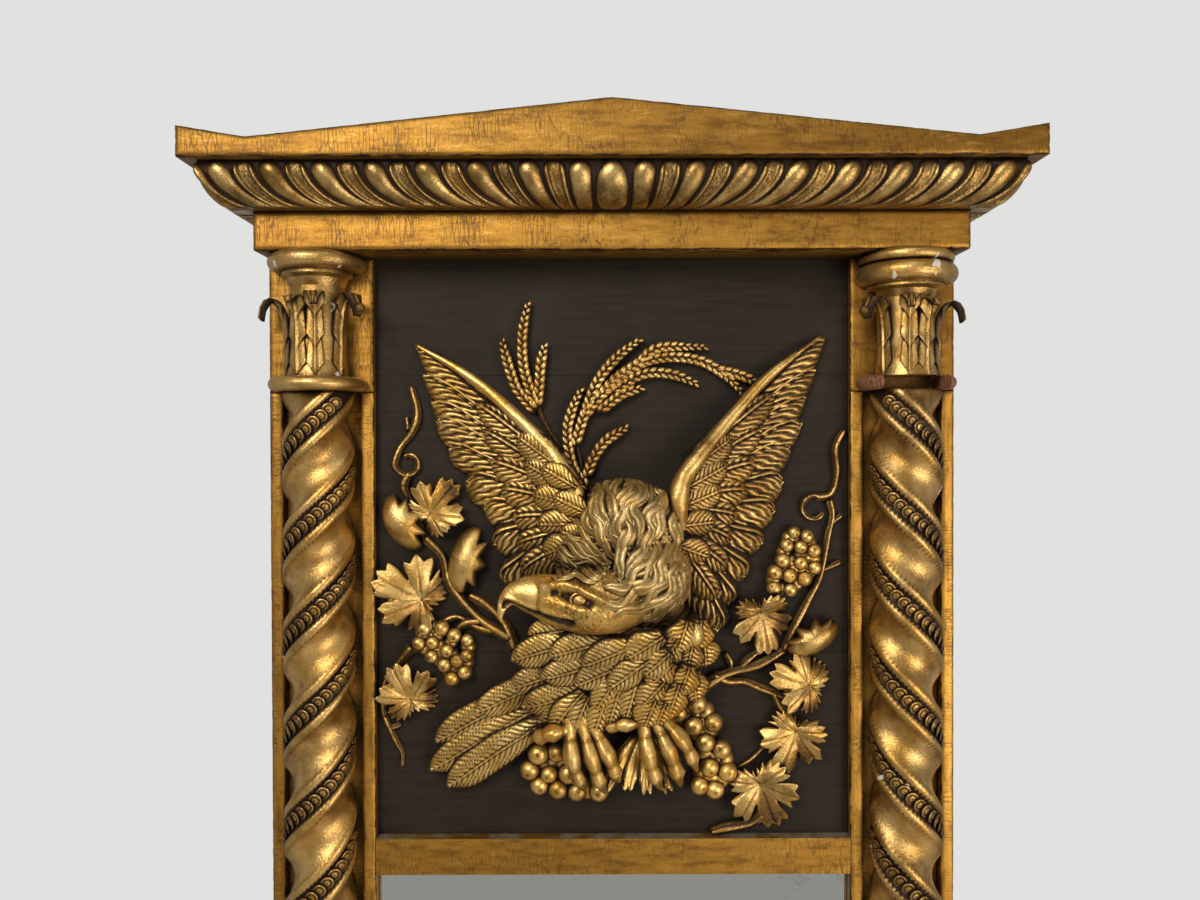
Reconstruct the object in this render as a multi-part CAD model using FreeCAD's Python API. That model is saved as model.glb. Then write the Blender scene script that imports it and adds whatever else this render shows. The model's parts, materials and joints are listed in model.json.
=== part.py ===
import FreeCAD, Part
import math
import os

os.makedirs("parts", exist_ok=True)

# A carved and gilded trumeau mirror. Millimetres, +Z up, the wall is the plane y = 0 and the front
# looks towards -Y. The origin is on the wall plane, at the middle of the bottom edge.

V = FreeCAD.Vector

# Driving sizes of the carcass
OPENING_W = 596.0
STILE_W = 129.5
STILE_T = 36.0
STRIP_W = 16.0
STRIP_T = 16.0
LIP = 9.0
RAIL_BACK = 10.0
PLINTH_H = 90.0
MIRROR_H = 880.0
MIDDLE_RAIL_H = 45.0
PANEL_H = 728.0
TENON_L = 30.0
TENON_T = 12.0
TENON_SHOULDER = 3.0
FIT = 0.2

# Driving sizes of the cornice
FRIEZE_H = 45.5
FRIEZE_OUT = 51.0
GADROON_H = 46.5
GADROON_OUT = 40.0
PEDIMENT_OUT = 63.0
PEDIMENT_T = 22.0
PEAK_H = 65.0
EAR_H = 35.0
VALLEY_H = 22.0
VALLEY_IN = 77.5
SOFFIT_T = 12.0
LOBE_PITCH = 59.0
EGG_W = 34.0

# Driving sizes of a column
COLUMN_R = 43.0
HOLLOW_R = 31.0
COLUMN_OUT = 12.0
TWIST_LEAD = 226.0
BAND_Z = 1306.5
BAND_HALF_ANGLE = 43.0
CAPITAL_H = 167.0
CAPITAL_R = 59.0
NECK_R = 33.0
ASTRAGAL_H = 17.0
BASE_H = 60.0
BASE_R = 56.0

# Driving sizes of the panel, the glass and the back
BOARD_T = 12.0
LOWER_JOINT_UP = 231.0
UPPER_JOINT_UP = 583.0
BOARD_GAP = 0.4
BATTEN_W = 40.0
BATTEN_X = 150.0
GLASS_T = 4.0
BACKBOARD_T = 8.0
BACKBOARD_LAP = 30.0
HANGER_X = 200.0
HANGER_W = 30.0
HANGER_T = 4.0
HANGER_HOLE_R = 4.5
HANGER_HOLE_UP = 27.0
SCREW_R = 2.2
SCREW_HEAD_R = 4.5
SCREW_HEAD_T = 3.0
LONG_SCREW = 50.0
SHORT_SCREW = 25.0
HOLE_CLEAR = 0.2

# Driving sizes of the carving
SEAT = 0.1
SHINGLE = 9.0
PERCH_GRAPE_R = 13.0
VINE_GRAPE_R = 9.6
CRUMB_SHARE = 0.05
CURL_STEP = 30.0

# A round ring is drawn as an ellipse that is longer by this much
ROUND_SLACK = 0.001

# Planes and heights that follow from them
HALF_OPEN = OPENING_W / 2
HALF_BODY = HALF_OPEN + STILE_W
STILE_IN = HALF_OPEN + LIP
FACE_Y = -STILE_T
STRIP_Y = FACE_Y - STRIP_T
FRIEZE_Y = STRIP_Y - FRIEZE_OUT
PEDIMENT_Y = FRIEZE_Y - PEDIMENT_OUT
BACK_Y = -RAIL_BACK
AXIS_X = HALF_OPEN + STILE_W / 2
AXIS_Y = STRIP_Y - COLUMN_OUT
RAIL_Z = PLINTH_H + MIRROR_H
PANEL_Z = RAIL_Z + MIDDLE_RAIL_H
FRIEZE_Z = PANEL_Z + PANEL_H
GADROON_Z = FRIEZE_Z + FRIEZE_H
CORNICE_Z = GADROON_Z + GADROON_H
CAPITAL_Z = FRIEZE_Z - CAPITAL_H
SHAFT_Z = PLINTH_H + BASE_H
PANEL_MID = PANEL_Z + PANEL_H / 2
HALF_PEDIMENT = HALF_BODY + PEDIMENT_OUT
BACKBOARD_Z0 = PLINTH_H - BACKBOARD_LAP
BACKBOARD_Z1 = RAIL_Z + BACKBOARD_LAP - LIP
HANGER_HOLE_Z = CORNICE_Z + HANGER_HOLE_UP


# Small helpers


def box(x0, x1, y0, y1, z0, z1):
    return Part.makeBox(x1 - x0, y1 - y0, z1 - z0, V(x0, y0, z0))


def mirrored(shape):
    return shape.mirror(V(0, 0, 0), V(1, 0, 0))


def joined(shapes):
    """All the shapes grown into one, taken one at a time."""
    whole = shapes[0]
    for shape in shapes[1:]:
        whole = whole.fuse(shape)
    return whole


def apart(shape, *others):
    """The shape with the room of its neighbours taken out, its crumbs left off."""
    for other in others:
        if other.BoundBox.intersect(shape.BoundBox):
            shape = shape.cut(other)
    biggest = max(s.Volume for s in shape.Solids)
    return Part.makeCompound([s for s in shape.Solids if s.Volume > CRUMB_SHARE * biggest])


def extruded(points, direction):
    wire = Part.makePolygon(points + points[:1])
    return Part.Face(wire).extrude(direction)


def turned(profile, x, y):
    """A turned solid about the upright line at x, y from (radius, z) points."""
    points = [V(x + r, y, z) for r, z in profile]
    return Part.Face(Part.makePolygon(points + points[:1])).revolve(V(x, y, 0), V(0, 0, 1), 360)


def local_frame(origin, ex, ez):
    """The matrix that carries local x, y, z to ex, ez x ex, ez at the origin."""
    ey = ez.cross(ex)
    return FreeCAD.Matrix(ex.x, ey.x, ez.x, origin.x, ex.y, ey.y, ez.y, origin.y,
                          ex.z, ey.z, ez.z, origin.z, 0, 0, 0, 1)


def strand(points, wides, thicks=None, across=None, straight=False):
    """A smooth tapering body through elliptical rings along a path, or straight from ring to ring.

    wides and thicks are half sizes; across is the wide axis, worked out in the panel's plane if not given.
    """
    thicks = thicks or wides
    rings = []
    for i, point in enumerate(points):
        along = points[min(i + 1, len(points) - 1)] - points[max(i - 1, 0)]
        along.normalize()
        wide_axis = V(across) if across else along.cross(V(0, -1, 0))
        wide_axis.normalize()
        thick_axis = along.cross(wide_axis)
        wide = max(wides[i], thicks[i] + ROUND_SLACK)
        ring = Part.Ellipse(point + wide_axis * wide, point + thick_axis * thicks[i], point)
        rings.append(Part.Wire(ring.toShape()))
    return Part.makeLoft(rings, True, straight)


def taper(count, start, middle, end):
    """count half sizes that run from start to middle to end."""
    sizes = []
    for i in range(count):
        t = 2 * i / (count - 1)
        sizes.append(start + (middle - start) * t if t <= 1 else middle + (end - middle) * (t - 1))
    return sizes


def along_line(points, t):
    """The point at share t of a polyline, each leg counted alike."""
    place = t * (len(points) - 1)
    leg = min(int(place), len(points) - 2)
    a, b = points[leg], points[leg + 1]
    return tuple(p + (q - p) * (place - leg) for p, q in zip(a, b))


def on_panel(x, up, out):
    """A point by its place from the panel's centre and how far it stands out of the face."""
    return V(x, FACE_Y - out, PANEL_MID + up)


def before_panel(shape):
    """Only what stands in front of the panel's face."""
    bound = shape.BoundBox
    room = box(bound.XMin - 1, bound.XMax + 1, bound.YMin - 1, FACE_Y, bound.ZMin - 1, bound.ZMax + 1)
    return shape.common(room)


def dome(x, up, out, rx, ry, rz, turn=0.0):
    """An ellipsoid about a point before the panel, turned in its plane and flat where it meets the face."""
    lowest = -math.degrees(math.asin(out / ry)) if out < ry else -90
    ball = Part.makeSphere(1.0, V(0, 0, 0), V(0, -1, 0), lowest, 90, 360)
    shape = ball.transformGeometry(FreeCAD.Matrix(rx, 0, 0, 0, 0, ry, 0, 0, 0, 0, rz, 0))
    shape.rotate(V(0, 0, 0), V(0, 1, 0), turn)
    shape.translate(on_panel(x, up, out))
    return shape


def blade(root, tip, width, thick, roll=0.0):
    """One feather: a flat spindle with a round tip, its face to the viewer and rolled about its length."""
    ex = tip - root
    length = ex.Length
    ex.normalize()
    ez = V(0, -1, 0) - ex * ex.dot(V(0, -1, 0))
    ez.normalize()
    ez = FreeCAD.Rotation(ex, roll).multVec(ez)
    half = width / 2
    corner = [V(0, s * 0.55 * half, 0) for s in (-1, 1)]
    belly = [V(0.5 * length, s * half, 0) for s in (-1, 1)]
    neck = [V(length - 0.8 * half, s * 0.72 * half, 0) for s in (-1, 1)]
    edges = [
        Part.Arc(corner[0], belly[0], neck[0]).toShape(),
        Part.Arc(neck[0], V(length, 0, 0), neck[1]).toShape(),
        Part.Arc(neck[1], belly[1], corner[1]).toShape(),
        Part.makeLine(corner[1], corner[0]),
    ]
    return Part.Face(Part.Wire(edges)).extrude(V(0, 0, thick)).transformed(local_frame(root, ex, ez))


def feather_row(tips, roots, count, width, thick, root_out, tip_out, roll):
    """count feathers whose tips and roots follow two lines of the panel, lapped like shingles."""
    row = []
    for i in range(count):
        t = i / (count - 1)
        rx, ru = along_line(roots, t)
        tx, tu = along_line(tips, t)
        row.append(blade(on_panel(rx, ru, root_out), on_panel(tx, tu, tip_out), width, thick, roll))
    return row


def peg(x, up, radius, out):
    """A round peg from the panel's face into the back of a carving."""
    return Part.makeCylinder(radius, out, on_panel(x, up, 0), V(0, -1, 0))


# Screws and their holes


def screw(head, direction, length, slack=0.0):
    """A countersunk wood screw, its head's flat at the given point, or its hole when slack is not 0."""
    shank = Part.makeCylinder(SCREW_R + slack, length + slack, head, direction)
    cone = Part.makeCone(SCREW_HEAD_R + slack, SCREW_R + slack, SCREW_HEAD_T, head, direction)
    return shank.fuse(cone)


def column_screw_places():
    steps = (0.1, 0.5, 0.9)
    return [(V(AXIS_X, 0, SHAFT_Z + s * (CAPITAL_Z - SHAFT_Z)), V(0, -1, 0), LONG_SCREW) for s in steps]


def cornice_screw_places():
    rows = (FACE_Y / 2, (FACE_Y + FRIEZE_Y) / 2)
    return [(V(AXIS_X, y, CORNICE_Z + SOFFIT_T), V(0, 0, -1), LONG_SCREW) for y in rows]


def hanger_screw_places():
    top_rail_mid = (FRIEZE_Z + LIP + CORNICE_Z) / 2
    spread = (CORNICE_Z - FRIEZE_Z) / 5
    heights = (top_rail_mid - spread, top_rail_mid + spread)
    return [(V(HANGER_X, BACK_Y + HANGER_T, z), V(0, -1, 0), SHORT_SCREW) for z in heights]


def backboard_screw_places():
    width = 2 * STILE_IN / 3
    heights = (BACKBOARD_Z0 + BACKBOARD_LAP / 3, RAIL_Z + MIDDLE_RAIL_H / 2)
    back = BACK_Y + BACKBOARD_T
    return [(V(i * width, back, z), V(0, -1, 0), SHORT_SCREW) for i in (-1, 0, 1) for z in heights]


def both_sides(places):
    return places + [(V(-p.x, p.y, p.z), way, length) for p, way, length in places]


def bored(shape, places):
    return shape.cut([screw(*place, HOLE_CLEAR) for place in places])


def wood_screws():
    paired = column_screw_places() + cornice_screw_places() + hanger_screw_places()
    places = both_sides(paired) + backboard_screw_places()
    return Part.makeCompound([screw(*place) for place in places])


# Stiles, rails and strips


def tenon(z0, z1, grow):
    """The right-hand tenon of a rail whose body runs from z0 to z1, or its mortise when grow is not 0."""
    mid_y = (FACE_Y + BACK_Y) / 2
    return box(STILE_IN - grow, STILE_IN + TENON_L + grow,
               mid_y - TENON_T / 2 - grow, mid_y + TENON_T / 2 + grow,
               z0 + TENON_SHOULDER - grow, z1 - TENON_SHOULDER + grow)


RAIL_BODIES = ((0.0, PLINTH_H - LIP), (RAIL_Z + LIP, PANEL_Z - LIP), (FRIEZE_Z + LIP, CORNICE_Z))


def right_stile():
    body = box(STILE_IN, HALF_BODY, FACE_Y, 0, 0, CORNICE_Z)
    mortises = [tenon(z0, z1, FIT) for z0, z1 in RAIL_BODIES]
    rebate = box(STILE_IN, STILE_IN + LIP, BACK_Y, 0, BACKBOARD_Z0 - FIT, BACKBOARD_Z1 + FIT)
    body = body.cut(mortises + [rebate])
    return bored(body, column_screw_places() + cornice_screw_places())


def rail(index, lip_z0=None, lip_z1=None):
    z0, z1 = RAIL_BODIES[index]
    pieces = [box(-STILE_IN, STILE_IN, FACE_Y, BACK_Y, z0, z1)]
    pieces += [tenon(z0, z1, 0), mirrored(tenon(z0, z1, 0))]
    if lip_z1:
        pieces.append(box(-HALF_OPEN, HALF_OPEN, STRIP_Y, FACE_Y, lip_z0, lip_z1))
    return joined(pieces).removeSplitter()


def top_rail():
    return bored(rail(2), both_sides(hanger_screw_places()))


def middle_rail():
    return bored(rail(1, RAIL_Z, PANEL_Z), backboard_screw_places())


def bottom_rail():
    """The lowest rail, which stands back to the wall under the backboards."""
    heel = box(-STILE_IN, STILE_IN, BACK_Y, 0, 0, BACKBOARD_Z0 - FIT)
    return bored(rail(0, 0.0, PLINTH_H).fuse(heel).removeSplitter(), backboard_screw_places())


def right_inner_strip():
    return box(HALF_OPEN, HALF_OPEN + STRIP_W, STRIP_Y, FACE_Y, PLINTH_H, CAPITAL_Z)


def right_outer_strip():
    return box(HALF_BODY - STRIP_W, HALF_BODY, STRIP_Y, FACE_Y, PLINTH_H, CAPITAL_Z)


def right_capital_board():
    return box(HALF_OPEN, HALF_BODY, STRIP_Y, FACE_Y, CAPITAL_Z, FRIEZE_Z)


def right_plinth_block():
    return box(HALF_OPEN, HALF_BODY, AXIS_Y - BASE_R, FACE_Y, 0, PLINTH_H)


# Cornice


def frieze_board():
    return box(-HALF_BODY, HALF_BODY, FRIEZE_Y, FACE_Y, FRIEZE_Z, GADROON_Z)


def cornice_core():
    core = box(-HALF_BODY, HALF_BODY, FRIEZE_Y, FACE_Y, GADROON_Z, CORNICE_Z)
    return bored(core, both_sides(cornice_screw_places()))


def gadroon_point(x, angle):
    """A point of the plain ovolo: angle 0 is its top edge, 90 its foot on the frieze."""
    a = math.radians(angle)
    return V(x, FRIEZE_Y - GADROON_OUT * math.cos(a), CORNICE_Z - GADROON_H * math.sin(a))


def lobe(top_x, way, size):
    """One gadroon: it starts upright under the soffit and sweeps towards the middle, way being -1 or 1."""
    points, sizes = [], []
    for angle, radius in ((0, 0.9), (22, 1.0), (44, 0.8), (66, 0.5), (84, 0.2)):
        sweep = LOBE_PITCH * 0.85 * (1 - math.cos(math.radians(angle)))
        points.append(gadroon_point(top_x - way * sweep, angle))
        sizes.append(size * radius)
    return strand(points, sizes, across=(1, 0, 0))


def ovolo(x0, x1):
    """A plain length of the moulding, with the room that the lobes stand out by left off."""
    foot = V(x0, FRIEZE_Y, GADROON_Z)
    heel = V(x0, FRIEZE_Y, CORNICE_Z)
    relief = 6.0
    lip = V(x0, FRIEZE_Y - GADROON_OUT + relief, CORNICE_Z)
    belly = V(x0, FRIEZE_Y - (GADROON_OUT - relief) * math.cos(math.radians(45)),
              CORNICE_Z - (GADROON_H - relief / 2) * math.sin(math.radians(45)))
    edges = [Part.makeLine(foot, heel), Part.makeLine(heel, lip), Part.Arc(lip, belly, foot).toShape()]
    return Part.Face(Part.Wire(edges)).extrude(V(x1 - x0, 0, 0))


def mitre(x, y, way):
    """The room beyond the corner at x, y, cut at 45 degrees."""
    reach = 3 * GADROON_OUT
    points = [V(x - way * reach, y + reach, 0), V(x + way * reach, y - reach, 0), V(x + way * reach, y + reach, 0)]
    return extruded(points, V(0, 0, 2 * CORNICE_Z))


def under_soffit(shape):
    bound = shape.BoundBox
    room = box(bound.XMin - 1, bound.XMax + 1, bound.YMin - 1, bound.YMax + 1, GADROON_Z, CORNICE_Z)
    return shape.common(room)


def egg():
    """The egg in the middle of the front, half sunk in the moulding."""
    middle = gadroon_point(0, 45)
    shape = Part.makeSphere(1.0).transformGeometry(
        FreeCAD.Matrix(EGG_W / 2, 0, 0, 0, 0, EGG_W / 2, 0, 0, 0, 0, GADROON_H / 2, 0))
    shape.translate(V(0, middle.y + EGG_W / 4, (GADROON_Z + CORNICE_Z) / 2))
    return shape


def gadroon_front():
    reach = HALF_BODY + GADROON_OUT
    count = int(reach / LOBE_PITCH)
    pieces = [ovolo(-reach, reach), egg()]
    for i in range(count):
        top_x = (i + 1) * LOBE_PITCH
        pieces += [lobe(top_x, 1, LOBE_PITCH / 4), lobe(-top_x, -1, LOBE_PITCH / 4)]
    run = under_soffit(joined(pieces))
    behind = box(-reach, reach, FRIEZE_Y, 0, GADROON_Z, CORNICE_Z)
    ends = [mitre(HALF_BODY, FRIEZE_Y, 1), mitre(-HALF_BODY, FRIEZE_Y, -1)]
    return apart(run, behind, *ends)


def gadroon_right_return():
    """The same moulding run back along the right side to the wall."""
    depth = -FRIEZE_Y
    pieces = [ovolo(-GADROON_OUT, depth)]
    count = int(depth / LOBE_PITCH) + 1
    for i in range(count):
        pieces.append(lobe(depth - (i + 0.6) * LOBE_PITCH, -1, LOBE_PITCH / 4))
    run = under_soffit(joined(pieces))
    run = run.common(box(-GADROON_OUT, depth, FRIEZE_Y - 2 * GADROON_OUT, FRIEZE_Y, GADROON_Z, CORNICE_Z))
    run.translate(V(0, -FRIEZE_Y, 0))
    run.rotate(V(0, 0, 0), V(0, 0, 1), 90)
    run.translate(V(HALF_BODY, FRIEZE_Y, 0))
    corner = mitre(HALF_BODY, FRIEZE_Y, 1)
    return apart(run.common(corner))


def cornice_soffit():
    half = HALF_PEDIMENT - PEDIMENT_T
    board = box(-half, half, PEDIMENT_Y + PEDIMENT_T, BACK_Y - 1.0, CORNICE_Z, CORNICE_Z + SOFFIT_T)
    return bored(board, both_sides(cornice_screw_places()))


def pediment_board():
    valley_x = HALF_PEDIMENT - VALLEY_IN
    outline = [(-HALF_PEDIMENT, 0), (HALF_PEDIMENT, 0), (HALF_PEDIMENT, EAR_H), (valley_x, VALLEY_H),
               (0, PEAK_H), (-valley_x, VALLEY_H), (-HALF_PEDIMENT, EAR_H)]
    points = [V(x, PEDIMENT_Y, CORNICE_Z + z) for x, z in outline]
    return extruded(points, V(0, PEDIMENT_T, 0))


def right_pediment_return():
    slope = (EAR_H - VALLEY_H) / VALLEY_IN
    inner = HALF_PEDIMENT - PEDIMENT_T
    front = PEDIMENT_Y + PEDIMENT_T
    outline = [(inner, 0), (HALF_PEDIMENT, 0), (HALF_PEDIMENT, EAR_H), (inner, EAR_H - slope * PEDIMENT_T)]
    return extruded([V(x, front, CORNICE_Z + z) for x, z in outline], V(0, -front, 0))


def pediment_glue_blocks():
    length, leg = 60.0, 16.0
    back = PEDIMENT_Y + PEDIMENT_T
    z = CORNICE_Z + SOFFIT_T
    blocks = []
    for share in (-0.75, -0.25, 0.25, 0.75):
        x = share * (HALF_PEDIMENT - VALLEY_IN) - length / 2
        blocks.append(extruded([V(x, back, z), V(x, back + leg, z), V(x, back, z + leg)], V(length, 0, 0)))
    return Part.makeCompound(blocks)


# Columns


def polar(radius, angle):
    a = math.radians(angle)
    return V(radius * math.cos(a), radius * math.sin(a), 0)


def column_section():
    """Two round bands on opposite sides with a cove on either side between them."""
    half = BAND_HALF_ANGLE
    edges = []
    for start in (0, 180):
        edges.append(Part.Arc(polar(COLUMN_R, start - half), polar(COLUMN_R, start),
                              polar(COLUMN_R, start + half)).toShape())
        edges.append(Part.Arc(polar(COLUMN_R, start + half), polar(HOLLOW_R, start + 90),
                              polar(COLUMN_R, start + 180 - half)).toShape())
    return Part.Wire(edges)


def left_column():
    """The section twisted up a straight line, right-handed, and cut flat where it meets the stile."""
    height = CAPITAL_Z - SHAFT_Z
    spine = Part.Wire(Part.makeLine(V(0, 0, 0), V(0, 0, height)))
    guide = Part.Wire(Part.makeHelix(TWIST_LEAD, height, COLUMN_R).Edges)
    sweep = Part.BRepOffsetAPI.MakePipeShell(spine)
    sweep.setAuxiliarySpine(guide, True, 0)
    sweep.add(column_section())
    sweep.build()
    sweep.makeSolid()
    shaft = sweep.shape()
    front_turn = -90 - 360 * (BAND_Z - SHAFT_Z) / TWIST_LEAD
    shaft.rotate(V(0, 0, 0), V(0, 0, 1), front_turn)
    shaft.translate(V(-AXIS_X, AXIS_Y, SHAFT_Z))
    room = 2 * COLUMN_R
    shaft = shaft.cut(box(-AXIS_X - room, -AXIS_X + room, FACE_Y, FACE_Y + room, 0, CORNICE_Z))
    return bored(shaft, both_sides(column_screw_places()))


def on_stile(shape):
    """Only what stands in front of the strips and the capital board."""
    bound = shape.BoundBox
    room = box(bound.XMin - 1, bound.XMax + 1, bound.YMin - 1, STRIP_Y, bound.ZMin - 1, bound.ZMax + 1)
    return shape.common(room)


def torus_profile(radius, z0, z1):
    """A half-round bead as profile points."""
    bulge = (z1 - z0) / 2
    mid = (z0 + z1) / 2
    angles = range(-90, 91, 15)
    return [(radius - bulge + bulge * math.cos(math.radians(a)), mid + bulge * math.sin(math.radians(a)))
            for a in angles]


def left_capital():
    """Turned capital: a big bead on top, a small fillet, a hollow neck and the bell behind the leaves."""
    z0 = CAPITAL_Z + ASTRAGAL_H
    bead_z = FRIEZE_Z - 21.0
    fillet_z = bead_z - 5.0
    profile = [(0, z0), (NECK_R + 5, z0), (NECK_R + 2, z0 + 20), (NECK_R, fillet_z - 30), (NECK_R, fillet_z - 14)]
    profile += [(NECK_R + 4, fillet_z - 4), (NECK_R + 10, fillet_z), (NECK_R + 10, bead_z)]
    profile += torus_profile(CAPITAL_R, bead_z, FRIEZE_Z) + [(0, FRIEZE_Z)]
    return on_stile(turned(profile, -AXIS_X, AXIS_Y))


def right_capital():
    """The right capital differs: two beads on top and a longer neck."""
    z0 = CAPITAL_Z + ASTRAGAL_H
    bead_z = FRIEZE_Z - 14.0
    low_z = bead_z - 25.0
    fillet_z = low_z - 4.0
    profile = [(0, z0), (NECK_R + 5, z0), (NECK_R + 2, z0 + 20), (NECK_R, fillet_z - 30), (NECK_R, fillet_z - 12)]
    profile += [(NECK_R + 4, fillet_z - 3), (NECK_R + 13, fillet_z), (NECK_R + 13, low_z)]
    profile += torus_profile(CAPITAL_R + 2, low_z, bead_z) + torus_profile(CAPITAL_R - 2, bead_z, FRIEZE_Z)
    profile += [(0, FRIEZE_Z)]
    return on_stile(turned(profile, AXIS_X, AXIS_Y))


def acanthus(x, turn, foot_z, height):
    """One leaf that climbs the bell, scalloped at its sides, and curls over at the tip."""
    radial = V(math.sin(math.radians(turn)), -math.cos(math.radians(turn)), 0)
    across = V(radial.y, -radial.x, 0)
    bell = NECK_R + 7
    stations = ((bell, 0.0, 11), (bell, 0.2, 17), (bell, 0.34, 13), (bell, 0.5, 18), (bell + 1, 0.64, 13),
                (bell + 5, 0.82, 16), (bell + 15, 0.97, 12), (bell + 25, 0.9, 5))
    points = [V(x, AXIS_Y, foot_z + up * height) + radial * r for r, up, wide in stations]
    wides = [wide for r, up, wide in stations]
    thick = 4.0
    return strand(points, wides, [thick] * len(points), across)


def acanthus_ring(x, turns, foot_z, height, capital):
    leaves = []
    for turn in turns:
        leaf = apart(on_stile(acanthus(x, turn, foot_z, height)), capital, *leaves)
        leaves.append(leaf)
    return Part.makeCompound([s for leaf in leaves for s in leaf.Solids])


def astragal_ring(x):
    profile = [(NECK_R - 10, CAPITAL_Z)] + torus_profile(CAPITAL_R, CAPITAL_Z, CAPITAL_Z + ASTRAGAL_H)
    profile += [(NECK_R - 10, CAPITAL_Z + ASTRAGAL_H)]
    return on_stile(turned(profile, x, AXIS_Y))


def right_astragal_ends():
    """The right ring is broken off: only its two ends on the stile are left."""
    lost = NECK_R + 7
    room = box(AXIS_X - lost, AXIS_X + lost, AXIS_Y - 2 * CAPITAL_R, 0, CAPITAL_Z - 1, CAPITAL_Z + ASTRAGAL_H + 1)
    return astragal_ring(AXIS_X).cut(room)


def right_column_base():
    lower = PLINTH_H + 22.0
    upper = SHAFT_Z - 14.0
    profile = [(0, PLINTH_H)] + torus_profile(BASE_R - 2, PLINTH_H, lower)
    profile += [(BASE_R - 10, lower), (BASE_R - 13, (lower + upper) / 2), (BASE_R - 11, upper)]
    profile += torus_profile(BASE_R - 6, upper, SHAFT_Z) + [(0, SHAFT_Z)]
    return on_stile(turned(profile, AXIS_X, AXIS_Y))


# Panel, glass and back


def panel_board(z0, z1):
    half = STILE_IN - FIT
    return box(-half, half, FACE_Y, FACE_Y + BOARD_T, z0, z1)


def panel_battens():
    y = FACE_Y + BOARD_T
    z0, z1 = PANEL_Z + LIP, FRIEZE_Z - LIP
    places = (-BATTEN_X, BATTEN_X)
    return Part.makeCompound([box(x - BATTEN_W / 2, x + BATTEN_W / 2, y, BACK_Y, z0, z1) for x in places])


def mirror_plate():
    half = STILE_IN - FIT
    return box(-half, half, FACE_Y, FACE_Y + GLASS_T, RAIL_BODIES[0][1], RAIL_BODIES[1][0] - FIT)


def mirror_blocks():
    width, height = 12.0, 60.0
    blocks = []
    for share in (0.15, 0.5, 0.85):
        z = PLINTH_H + share * MIRROR_H - height / 2
        block = box(STILE_IN - width, STILE_IN, FACE_Y + GLASS_T, BACK_Y, z, z + height)
        blocks += [block, mirrored(block)]
    return Part.makeCompound(blocks)


def backboards():
    width = 2 * (STILE_IN + LIP - FIT) / 3
    boards = []
    for i in (-1, 0, 1):
        x0 = (i - 0.5) * width + BOARD_GAP / 2
        board = box(x0, x0 + width - BOARD_GAP, BACK_Y, BACK_Y + BACKBOARD_T, BACKBOARD_Z0, BACKBOARD_Z1)
        boards.append(bored(board, backboard_screw_places()))
    return Part.makeCompound(boards)


def hanging_plates():
    """Iron plates on the top rail that stand up behind the hollow pediment, with the hole for a wall screw."""
    z0 = FRIEZE_Z + LIP + 6.0
    z1 = HANGER_HOLE_Z + HANGER_W / 3
    plate = box(HANGER_X - HANGER_W / 2, HANGER_X + HANGER_W / 2, BACK_Y, BACK_Y + HANGER_T, z0, z1)
    hole = Part.makeCylinder(HANGER_HOLE_R, HANGER_T, V(HANGER_X, BACK_Y, HANGER_HOLE_Z), V(0, 1, 0))
    plate = bored(plate.cut(hole), hanger_screw_places())
    return Part.makeCompound([plate, mirrored(plate)])


# The eagle


def eagle_head():
    """Mane, head turned to the left, hooked beak, eye and a slit for the mouth."""
    mane = [dome(20, 32, 18, 54, 62, 62), dome(28, -30, 30, 46, 62, 52)]
    stations = ((34, -44, 34, 34), (0, -54, 37, 36), (-40, -57, 35, 32), (-74, -52, 30, 25), (-102, -47, 22, 17),
                (-120, -48, 15, 11), (-130, -60, 7, 7), (-133, -73, 2, 2))
    points = [on_panel(x, up, 72) for x, up, tall, deep in stations]
    talls = [tall for x, up, tall, deep in stations]
    deeps = [deep for x, up, tall, deep in stations]
    skull = strand(points, talls, deeps)
    eye = dome(-39, -48, 72 + 28, 10, 9, 9)
    brow = strand([on_panel(-64, -34, 97), on_panel(-40, -36, 102), on_panel(-12, -46, 101)], [3, 6, 3])
    nostril = dome(-79, -36, 72 + 18, 8, 8, 8)
    bird = joined(mane + [skull, eye, brow, nostril])
    mouth = [on_panel(-140, -56, 40), on_panel(-58, -78, 40), on_panel(-58, -80, 40), on_panel(-140, -60, 40)]
    return apart(bird, extruded(mouth, V(0, -120, 0)))


def eagle_body(head):
    """The breast behind the head and the right thigh, flat on the panel."""
    breast = dome(18, -118, 2, 74, 64, 84, 10)
    thigh = dome(78, -126, 20, 40, 46, 66, -12)
    left_thigh = dome(-30, -168, 12, 40, 48, 58, 35)
    return apart(joined([breast, thigh, left_thigh]), head)


def wing(rows, arm, pegs):
    """Three rows of feathers, the thick leading edge and the pegs behind them."""
    pieces = []
    for row in rows:
        pieces += feather_row(*row)
    points = [on_panel(x, up, out) for x, up, out, radius in arm]
    pieces.append(strand(points, [radius for x, up, out, radius in arm]))
    pieces += [peg(x, up, 14.0, 20.0) for x, up in pegs]
    return joined(pieces)


def left_wing():
    long_tips = [(-239, 251), (-238, 215), (-222, 160), (-195, 103), (-166, 52), (-152, 7), (-135, -42)]
    middle_tips = [(-150, 172), (-150, 120), (-128, 70), (-112, 20), (-104, -25)]
    short_tips = [(-105, 138), (-98, 95), (-82, 50), (-75, 5)]
    rows = [
        (long_tips, [(-62, 112), (-70, 70), (-62, 20)], 11, 38, 9, 18, 9, SHINGLE),
        (middle_tips, [(-60, 110), (-50, 60), (-55, 10)], 7, 36, 9, 29, 20, SHINGLE),
        (short_tips, [(-52, 100), (-40, 60), (-40, 20)], 5, 32, 9, 40, 30, SHINGLE),
    ]
    arm = ((-46, 50, 42, 13), (-66, 104, 38, 13), (-112, 158, 30, 11), (-174, 213, 22, 8), (-234, 248, 16, 4))
    return wing(rows, arm, [(-150, 130), (-100, 60)])


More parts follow.
